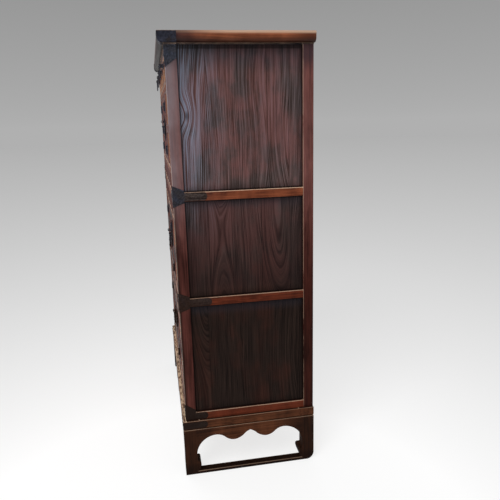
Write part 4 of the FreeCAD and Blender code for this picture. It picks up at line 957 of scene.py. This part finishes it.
def lay_boards(node, grain, key=None):
    """Give every board of a node its own layout: how far a point lies from the board's low and
    high corners, and its place across and along the grain, with a seeded shift. grain is an
    axis, or a rule that finds it from the board's corners."""
    mesh = NODES[node].data
    rng = random.Random(f"{bpy.context.scene.chest_studio.seed} {node}")
    values = {name: [0.0] * (3 * len(mesh.loops)) for name in ("from_low", "from_high", "board_place")}
    for faces in solids_of(mesh, key):
        low, high = extent(mesh, faces)
        along = AXES.index(grain(low, high) if callable(grain) else grain)
        others = [axis for axis in range(3) if axis != along]
        others.sort(key=lambda axis: low[axis] - high[axis])
        shift = [rng.uniform(0, 4) for _ in range(3)]
        for loop in (loop for face in faces for loop in face.loop_indices):
            spot = mesh.vertices[mesh.loops[loop].vertex_index].co
            slots = slice(3 * loop, 3 * loop + 3)
            values["from_low"][slots] = spot - low
            values["from_high"][slots] = high - spot
            values["board_place"][slots] = [spot[axis] + part for axis, part in zip((*others, along), shift)]
    for name, given in values.items():
        mesh.attributes.new(name, "FLOAT_VECTOR", "CORNER").data.foreach_set("vector", given)


def finish_node(node, finish):
    """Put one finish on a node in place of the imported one."""
    mesh = NODES[node].data
    mesh.materials.clear()
    mesh.materials.append(materials[finish])


def finish_boards(node, finish, grain, key=None):
    """Lay a node's boards and put a finish on them."""
    lay_boards(node, grain, key)
    finish_node(node, finish)


# Small pieces in mesh code


def finish_piece(name, bm, material, body, smooth=True):
    """Turn a bmesh into a piece that rides on a body."""
    mesh = bpy.data.meshes.new(name)
    bmesh.ops.recalc_face_normals(bm, faces=bm.faces)
    for face in bm.faces:
        face.smooth = smooth
    bm.to_mesh(mesh)
    bm.free()
    mesh.materials.append(materials[material])
    piece = bpy.data.objects.new(name, mesh)
    bpy.context.scene.collection.objects.link(piece)
    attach(piece, body)
    return piece


def across_to(normal):
    """Two directions that lie in the face with this normal, and the normal itself."""
    normal = Vector(normal).normalized()
    side = normal.cross(Vector((0, 0, 1))) if abs(normal.z) < 0.9 else Vector((1, 0, 0))
    side.normalize()
    return side, normal.cross(side), normal


def circle(radius, sides):
    """Corners of a round section, as pairs."""
    angles = [2 * math.pi * k / sides for k in range(sides)]
    return [(radius * math.cos(angle), radius * math.sin(angle)) for angle in angles]


def join_rows(bm, rows, closed=False, round_rows=True):
    """Faces between rows of vertices, each joined to the next. closed joins the last row to the
    first, and round_rows the last vertex of each row to its first."""
    pairs = list(zip(rows, rows[1:]))
    if closed:
        pairs.append((rows[-1], rows[0]))
    for first, second in pairs:
        count = len(first)
        for k in range(count if round_rows else count - 1):
            after = (k + 1) % count
            bm.faces.new((first[k], first[after], second[after], second[k]))


def add_dome(bm, centre, normal, radius, height, sides=10, steps=3, rng=None):
    """A domed head of a nail or a finial, its foot sunk a little into what it sits on."""
    side, up, out = across_to(normal)
    centre = Vector(centre)
    if rng:
        radius *= rng.uniform(0.92, 1.06)
        height *= rng.uniform(0.8, 1.1)
        centre += side * rng.uniform(-0.0004, 0.0004) + up * rng.uniform(-0.0004, 0.0004)
    centre -= out * SUNK
    height += SUNK
    rows = []
    for step in range(steps):
        angle = math.pi / 2 * step / steps
        middle = centre + out * height * math.sin(angle)
        ring = circle(radius * math.cos(angle), sides)
        rows.append([bm.verts.new(middle + side * across + up * rise) for across, rise in ring])
    join_rows(bm, rows)
    top = bm.verts.new(centre + out * height)
    for k in range(sides):
        bm.faces.new((rows[-1][k], rows[-1][(k + 1) % sides], top))


def add_sweep(bm, path, sections, closed=False):
    """Sweep sections along a path. Each point of the path comes with its two cross directions,
    and each section holds its corners as pairs along these."""
    rows = [
        [bm.verts.new(centre + first * across + second * rise) for across, rise in section]
        for (centre, first, second), section in zip(path, sections)
    ]
    join_rows(bm, rows, closed)
    if not closed:
        bm.faces.new(rows[0])
        bm.faces.new(rows[-1][::-1])


def add_mitred(bm, low, high, profile):
    """Run a profile round the front of a box, mitred at its corners. The profile's points are
    pairs: how far in from the edges, and how far out from the front."""
    corners = [(low.x, low.z, 1, 1), (high.x, low.z, -1, 1), (high.x, high.z, -1, -1), (low.x, high.z, 1, -1)]
    rows = [
        [bm.verts.new((x + right * inset, low.y - rise, z + up * inset)) for inset, rise in profile]
        for x, z, right, up in corners
    ]
    join_rows(bm, rows, closed=True, round_rows=False)


def add_rosette(bm, centre, sides=48):
    """Eight beaten petals round a handle post."""
    rows = []
    for radius, rise in PETALS:
        row = []
        for k in range(sides):
            angle = 2 * math.pi * k / sides
            petal = abs(math.cos(4 * angle))
            reach = radius * (0.9 + 0.1 * petal)
            lift = rise * (0.55 + 0.45 * petal) if rise > 0 else rise
            spot = centre + Vector((math.cos(angle) * reach, -lift, math.sin(angle) * reach))
            row.append(bm.verts.new(spot))
        rows.append(row)
    join_rows(bm, rows)
    bm.faces.new(rows[-1])


def quarter_turn(knee, radius, back, on):
    """Points of a quarter turn at a knee, from the run behind it to the run after it."""
    back, on = Vector(back), Vector(on)
    middle = Vector(knee) + (back + on) * radius
    angles = [math.pi / 2 * step / 5 for step in range(6)]
    return [middle - on * radius * math.cos(angle) - back * radius * math.sin(angle) for angle in angles]


def boxes_of(node):
    """The low and high corner of each solid of a node."""
    mesh = NODES[node].data
    found = [extent(mesh, faces) for faces in solids_of(mesh)]
    return sorted(found, key=lambda box: tuple(round(part, 4) for part in box[0]))


# Operators, one for each group of pieces


class CHEST_OT_finishes(bpy.types.Operator):
    """Make the shared effects and every finish"""

    bl_idname = "chest.finishes"
    bl_label = "Make Finishes"

    def execute(self, context):
        colours = context.scene.chest_colours
        for make in (
            make_board_group,
            make_grain_group,
            make_wear_and_glint_group,
            make_light_and_tone_group,
            make_hammer_group,
            make_burl_group,
        ):
            make()
        high = colours.frame_dark, colours.frame_light
        low = colours.frame_low_dark, colours.frame_low_light
        stand = colours.stand_dark, colours.stand_light
        rail = colours.rail_dark, colours.rail_light
        low_rail = colours.rail_shaded_dark, colours.rail_shaded_light
        # The neck under the top board gets near-black colours: painted shade under the board's overhang.
        neck = colours.soot_and_shade, colours.frame_low_dark
        frame_material("frame_wood", high, low, kind="corner")
        # top_width paints a highlight along the top edges of the rails and the stand.
        frame_material("rail_wood", rail, low_rail, UNWORN, top_width=0.0028, sheen=0.2)
        frame_material("neck_wood", neck, neck, 0.0008, sheen=0.2)
        frame_material("stand_wood", stand, stand, UNWORN, top_width=0.0012, sheen=0.0, kind="stand")
        board_material()
        panel_material()
        burl_material()
        bead_material()
        plain_material("inner_wood", colours.inner_light, colours.inner_dark, 0.009, 0.14)
        plain_material("back_wood", colours.back_light, colours.back_dark, 0.011, 0.17)
        iron_material("iron", 0.25)
        iron_material("rubbed_iron", 0.8)
        return {"FINISHED"}


class CHEST_OT_frame_wood(bpy.types.Operator):
    """Lay grain on the posts, rails, stiles, board and stand, and finish them"""

    bl_idname = "chest.frame_wood"
    bl_label = "Frame and Stand"

    def execute(self, context):
        for node, (finish, grain) in STRAIGHT_FRAME.items():
            finish_boards(node, finish, grain)
        finish_boards("front_muntins", "frame_wood", longest_in_front)
        finish_boards("neck_frame", "neck_wood", longest, members_of("neck_frame", 1, NECK_WIDTH))
        finish_boards("stand_frame", "stand_wood", longest, members_of("stand_frame", 1, STAND_WIDTH))
        for node in ("stand_legs", "stand_aprons", "stand_stretchers"):
            finish_boards(node, "stand_wood", longest)
        for door in DOORS:
            node = f"{door}_frame"
            finish_boards(node, "frame_wood", longest, members_of(node, 0, DOOR_STILE))
        return {"FINISHED"}


class CHEST_OT_side_panels(bpy.types.Operator):
    """Lay and finish the brushed boards of the sides"""

    bl_idname = "chest.side_panels"
    bl_label = "Side Panels"

    def execute(self, context):
        finish_boards("side_panels", "panel_wood", "z")
        return {"FINISHED"}


class CHEST_OT_burl(bpy.types.Operator):
    """Lay and finish the burl of the front"""

    bl_idname = "chest.burl"
    bl_label = "Burl Front"

    def execute(self, context):
        nodes = ["front_panels", *(f"{door}_panel" for door in DOORS)]
        nodes += [f"{drawer}_front" for drawer in DRAWERS]
        for node in nodes:
            finish_boards(node, "burl_wood", "x")
        return {"FINISHED"}


class CHEST_OT_plain_wood(bpy.types.Operator):
    """Lay and finish the inside, the drawers' boxes and the back"""

    bl_idname = "chest.plain_wood"
    bl_label = "Inside and Back"

    def execute(self, context):
        for node, (finish, grain) in STRAIGHT_PLAIN.items():
            finish_boards(node, finish, grain)
        for drawer in DRAWERS:
            node = f"{drawer}_box"
            finish_boards(node, "inner_wood", longest, members_of(node, 0, DRAWER_SIDE))
        return {"FINISHED"}


class CHEST_OT_ironwork(bpy.types.Operator):
    """Finish the straps, hinges, lock plates and handle posts"""

    bl_idname = "chest.ironwork"
    bl_label = "Ironwork"

    def execute(self, context):
        nodes = ["corner_straps", "hinge_leaves", *(f"{door}_fittings" for door in DOORS)]
        nodes += [f"{drawer}_handle_posts" for drawer in DRAWERS]
        for node in nodes:
            finish_node(node, "iron")
        return {"FINISHED"}


class CHEST_OT_strap_nails(bpy.types.Operator):
    """Drive domed nails through the corner straps, on both faces of both front corners"""

    bl_idname = "chest.strap_nails"
    bl_label = "Strap Nails"

    def execute(self, context):
        sizes = context.scene.chest_sizes
        rng = random.Random(context.scene.chest_studio.seed)
        nail = {"radius": sizes.nail_radius, "height": sizes.nail_height, "rng": rng}
        case = self.case_nails(), CASE_SIDE, CASE_FRONT
        stand = [(reach, STAND_STRAP) for reach in STAND_NAILS], STAND_SIDE, STAND_FRONT
        bm = bmesh.new()
        for side in SIDES.values():
            for spots, edge_x, edge_y in (case, stand):
                for reach, z in spots:
                    add_dome(bm, (side * (edge_x + STRAP_THICK), edge_y + reach, z), (side, 0, 0), **nail)
                    add_dome(bm, (side * (edge_x - reach), edge_y - STRAP_THICK, z), FORWARD, **nail)
        finish_piece("strap_nails", bm, "rubbed_iron", "cabinet")
        return {"FINISHED"}

    def case_nails(self):
        """Where nails lie in the case's straps: how far from the corner, and how high."""
        spots = [(reach, CASE_TOP + rise) for reach, rise in TOP_NAILS]
        for top in RAIL_TOPS:
            lowest = top == RAIL_TOPS[0]
            arm = LOW_ARM_NAILS if lowest else ARM_NAILS
            spots += [(reach, top - RAIL_HEIGHT / 2) for reach in arm]
            spots.append((0.008, top + 0.010))
            spots.append((0.007, top + 0.025) if lowest else (0.008, top - RAIL_HEIGHT - 0.008))
        return spots


class CHEST_OT_hinge_nails(bpy.types.Operator):
    """Nail the hinge leaves, and cap their pins with small finials"""

    bl_idname = "chest.hinge_nails"
    bl_label = "Hinge Nails and Finials"

    def execute(self, context):
        sizes = context.scene.chest_sizes
        rng = random.Random(context.scene.chest_studio.seed + 1)
        nail = {"radius": sizes.small_nail_radius, "height": sizes.small_nail_height, "sides": 8, "rng": rng}
        face = CASE_FRONT - STRAP_THICK
        fixed = bmesh.new()
        for door, side in DOORS.items():
            low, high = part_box(f"{door}_frame")
            line = (high.x if side > 0 else low.x) + side * HINGE_ASIDE
            moving = bmesh.new()
            for z in (low.z + HINGE_FROM_END, high.z - HINGE_FROM_END):
                for across, rise in LEAF_NAILS:
                    add_dome(fixed, (line + side * across, face, z + rise), FORWARD, **nail)
                    add_dome(moving, (line - side * across, face, z + rise), FORWARD, **nail)
                for end in (-1, 1):
                    tip = (line, CASE_FRONT - PIN_OUT, z + end * PIN_HALF)
                    add_dome(fixed, tip, (0, 0, end), sizes.finial_radius, sizes.finial_height, steps=4)
            finish_piece(f"{door}_hinge_nails", moving, "rubbed_iron", door)
        finish_piece("hinge_nails", fixed, "rubbed_iron", "cabinet")
        return {"FINISHED"}


class CHEST_OT_lock_trim(bpy.types.Operator):
    """Lay raised rims and a ring of nails on each half of the lock plates"""

    bl_idname = "chest.lock_trim"
    bl_label = "Lock Plate Trim"

    def execute(self, context):
        sizes = context.scene.chest_sizes
        rng = random.Random(context.scene.chest_studio.seed + 2)
        nail = {"radius": sizes.small_nail_radius, "height": sizes.small_nail_height, "sides": 8, "rng": rng}
        for door, side in DOORS.items():
            low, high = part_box(f"{door}_frame")
            centre = Vector((0, CASE_FRONT - STRAP_THICK, (low.z + high.z) / 2))
            bm = bmesh.new()
            for radius, width, rise in LOCK_RIMS:
                self.rim(bm, centre, side, radius, width, rise)
            for k in range(6):
                angle = math.radians(15 + 30 * k)
                out = Vector((side * math.sin(angle), 0, math.cos(angle)))
                add_dome(bm, centre + out * LOCK_NAILS, FORWARD, **nail)
            finish_piece(f"{door}_lock_trim", bm, "rubbed_iron", door)
        return {"FINISHED"}

    def rim(self, bm, centre, side, radius, width, rise, steps=32):
        """A half-round rim along one door's half of the plate, up to where the doors meet."""
        start = math.asin(DOOR_MEETING / radius)
        path = []
        for step in range(steps + 1):
            angle = start + (math.pi - 2 * start) * step / steps
            out = Vector((side * math.sin(angle), 0, math.cos(angle)))
            path.append((centre + out * radius, out, Vector(FORWARD)))
        turns = [math.pi * k / 6 for k in range(7)]
        half = [(width * math.cos(turn), 1.1 * rise * math.sin(turn) - 0.00005) for turn in turns]
        add_sweep(bm, path, [half] * len(path))


class CHEST_OT_door_rings(bpy.types.Operator):
    """Forge the pull rings of the doors, each a little uneven and thinnest where it hangs"""

    bl_idname = "chest.door_rings"
    bl_label = "Door Rings"

    def execute(self, context):
        bar = 0.97 * context.scene.chest_sizes.ring_bar
        rng = random.Random(context.scene.chest_studio.seed + 3)
        angles = [2 * math.pi * step / 40 for step in range(40)]
        for door in DOORS:
            low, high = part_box(f"{door}_ring")
            radius = (high.x - low.x) / 2 - BAR_HALF
            phase = rng.uniform(0, 6)
            path, sections = [], []
            for angle in angles:
                out = Vector((math.sin(angle), 0, math.cos(angle)))
                path.append(((low + high) / 2 + out * radius, out, Vector((0, 1, 0))))
                uneven = 0.93 + 0.05 * math.sin(3 * angle + phase) - 0.06 * math.cos(angle)
                sections.append(circle(bar * uneven, 12))
            bm = bmesh.new()
            add_sweep(bm, path, sections, closed=True)
            piece = finish_piece(f"{door}_pull_ring_bar", bm, "rubbed_iron", f"{door}_pull_ring")
            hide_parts(f"{door}_ring")
        return {"FINISHED"}


class CHEST_OT_bails(bpy.types.Operator):
    """Forge the drawers' bails, thicker where the hand pulls, and dress their rosettes"""

    bl_idname = "chest.bails"
    bl_label = "Drawer Bails"

    def execute(self, context):
        bar = context.scene.chest_sizes.bail_bar
        back = Vector((0, 1, 0))
        for drawer in DRAWERS:
            low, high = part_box(f"{drawer}_bail")
            middle = (low + high) / 2
            top, bottom = high.z - BAR_HALF, low.z + BAR_HALF
            points = self.outline((high.x - low.x) / 2, top, bottom)
            path, sections = [], []
            for index, (x, z) in enumerate(points):
                before, after = points[max(index - 1, 0)], points[min(index + 1, len(points) - 1)]
                run = Vector((after[0] - before[0], 0, after[1] - before[1])).normalized()
                path.append((Vector((middle.x + x, middle.y, z)), run.cross(back), back))
                sections.append(circle(bar + 0.0003 * (top - z) / (top - bottom), 12))
            bm = bmesh.new()
            add_sweep(bm, path, sections)
            piece = finish_piece(f"{drawer}_bail_bar", bm, "rubbed_iron", f"{drawer}_pull")
            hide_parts(f"{drawer}_bail")
            bm = bmesh.new()
            for side in SIDES.values():
                add_rosette(bm, Vector((middle.x + side * HANDLE_POST, CASE_FRONT - PLATE_THICK, top)))
            finish_piece(f"{drawer}_rosette_petals", bm, "rubbed_iron", drawer)
        return {"FINISHED"}

    def outline(self, end, top, bottom):
        """Points along a bail, from one post down, across and up to the other."""
        points = [(-end, top), (-BAIL_SHOULDER, top)]
        points += quarter_turn((-BAIL_ARM, top), BAIL_TOP_BEND, (-1, 0), (0, -1))
        points += quarter_turn((-BAIL_ARM, bottom), BAIL_LOW_BEND, (0, 1), (1, 0))
        points.append((-BAIL_FLAT, bottom))
        return points + [(-x, z) for x, z in points[::-1]]


class CHEST_OT_beads(bpy.types.Operator):
    """Run beads round the small panels and the doors' panels, and bands round the drawers' faces"""

    bl_idname = "chest.beads"
    bl_label = "Beads and Bands"

    def execute(self, context):
        sizes = context.scene.chest_sizes
        angles = [math.pi / 2 * step / 3 for step in range(4)]
        bead = [(sizes.bead_width * math.sin(angle), sizes.bead_height * math.cos(angle)) for angle in angles]
        width, height = sizes.band_width, sizes.band_height
        ease = 0.7 * height
        band = [(0, -SUNK), (0, height - ease), (ease, height)]
        band += [(width - ease, height), (width, height - ease), (width, -SUNK)]
        inset = Vector((0.0005, 0, 0.0005))
        self.trim("panel_beads", boxes_of("front_panels"), bead, "cabinet")
        for door in DOORS:
            self.trim(f"{door}_bead", [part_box(f"{door}_panel")], bead, door)
        for drawer in DRAWERS:
            low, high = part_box(f"{drawer}_front")
            self.trim(f"{drawer}_band", [(low + inset, high - inset)], band, drawer)
        return {"FINISHED"}

    def trim(self, name, boxes, profile, body):
        """One piece of a profile that runs round the front of each box."""
        bm = bmesh.new()
        for low, high in boxes:
            add_mitred(bm, low, high, profile)
        finish_piece(name, bm, "bead_wood", body, smooth=False)


class CHEST_OT_studio(bpy.types.Operator):
    """Set up the floor, the backdrop, the soft lamps and the camera"""

    bl_idname = "chest.studio"
    bl_label = "Studio"

    def execute(self, context):
        scene = context.scene
        self.floor(scene)
        self.sky(scene)
        self.lamp("key_lamp", scene.chest_studio.key, (0.62, -0.52, 0.95), 0.5)
        self.lamp("fill_lamp", scene.chest_studio.fill, (-0.5, -0.2, 0.6), 0.8)
        self.camera(scene)
        scene.view_settings.view_transform = "Standard"
        return {"FINISHED"}

    def floor(self, scene):
        """A wide floor, with finer rings near the chest."""
        bm = bmesh.new()
        radii = (40.0, 12.0, 5.0, 2.0, 0.8)
        rows = [[bm.verts.new((x, y, 0)) for x, y in circle(radius, 48)] for radius in radii]
        join_rows(bm, rows)
        bm.faces.new(rows[-1])
        mesh = bpy.data.meshes.new("studio_floor")
        bm.to_mesh(mesh)
        bm.free()
        made = bpy.data.objects.new("studio_floor", mesh)
        scene.collection.objects.link(made)
        floor_material()
        mesh.materials.append(materials["studio_floor"])

    def sky(self, scene):
        """The world: a pale backdrop where it is seen, and plain even light elsewhere."""
        colours = scene.chest_colours
        world = bpy.data.worlds.new("studio")
        scene.world = world
        world.use_nodes = True
        world.node_tree.nodes.clear()
        wires = Wires(world.node_tree)
        rise = wires.split(wires.node("ShaderNodeTexCoord").outputs["Generated"])[2]
        climb = wires.math("POWER", wires.span(rise, 0.0, 0.2, smooth=False), 0.8)
        seen = wires.blend(climb, colours.horizon, colours.backdrop)
        light = wires.node("ShaderNodeBackground", {"Color": (1, 1, 1), "Strength": scene.chest_studio.sky})
        back = wires.node("ShaderNodeBackground", {"Color": seen, "Strength": 1.0})
        path = wires.node("ShaderNodeLightPath").outputs
        shows = wires.most(*(path[f"Is {kind} Ray"] for kind in ("Camera", "Transmission", "Glossy")))
        mix = wires.node("ShaderNodeMixShader", {0: shows, 1: light.outputs[0], 2: back.outputs[0]})
        wires.node("ShaderNodeOutputWorld", {"Surface": mix.outputs[0]})

    def lamp(self, name, strength, direction, spread):
        """A soft lamp far away in a direction, with its spread as an angle."""
        data = bpy.data.lights.new(name, "SUN")
        data.energy = strength
        data.angle = spread
        made = bpy.data.objects.new(name, data)
        made.rotation_euler = Vector(direction).to_track_quat("Z", "Y").to_euler()
        bpy.context.scene.collection.objects.link(made)

    def camera(self, scene):
        """The camera of the photograph's view."""
        data = bpy.data.cameras.new("camera")
        data.lens = scene.chest_studio.lens
        data.sensor_width = 36
        made = bpy.data.objects.new("camera", data)
        right, up = Vector(CAMERA_RIGHT).normalized(), Vector(CAMERA_UP).normalized()
        back = right.cross(up).normalized()
        up = back.cross(right)
        turn = Matrix((right, up, back)).transposed().to_4x4()
        made.matrix_world = Matrix.Translation(CAMERA_PLACE) @ turn
        scene.collection.objects.link(made)
        scene.camera = made


class CHEST_PT_sidebar(bpy.types.Panel):
    """The chest's pieces, sizes and colours"""

    bl_idname = "CHEST_PT_sidebar"
    bl_label = "Clothes Chest"
    bl_space_type = "VIEW_3D"
    bl_region_type = "UI"
    bl_category = "Chest"

    def draw(self, context):
        column = self.layout.column()
        for step in STEPS:
            column.operator(step.bl_idname)
        for group in (context.scene.chest_sizes, context.scene.chest_colours, context.scene.chest_studio):
            box = self.layout.box()
            for name in type(group).__annotations__:
                box.prop(group, name)


GROUPS = {"chest_colours": ChestColours, "chest_sizes": ChestSizes, "chest_studio": ChestStudio}
STEPS = (
    CHEST_OT_finishes,
    CHEST_OT_frame_wood,
    CHEST_OT_side_panels,
    CHEST_OT_burl,
    CHEST_OT_plain_wood,
    CHEST_OT_ironwork,
    CHEST_OT_strap_nails,
    CHEST_OT_hinge_nails,
    CHEST_OT_lock_trim,
    CHEST_OT_door_rings,
    CHEST_OT_bails,
    CHEST_OT_beads,
    CHEST_OT_studio,
)


def register():
    for made in (*GROUPS.values(), *STEPS, CHEST_PT_sidebar):
        bpy.utils.register_class(made)
    for name, group in GROUPS.items():
        setattr(bpy.types.Scene, name, PointerProperty(type=group))


def unregister():
    for name in GROUPS:
        delattr(bpy.types.Scene, name)
    for made in reversed((*GROUPS.values(), *STEPS, CHEST_PT_sidebar)):
        bpy.utils.unregister_class(made)


def main():
    register()
    for step in STEPS:
        family, name = step.bl_idname.split(".")
        getattr(getattr(bpy.ops, family), name)()


if __name__ == "__main__":
    main()
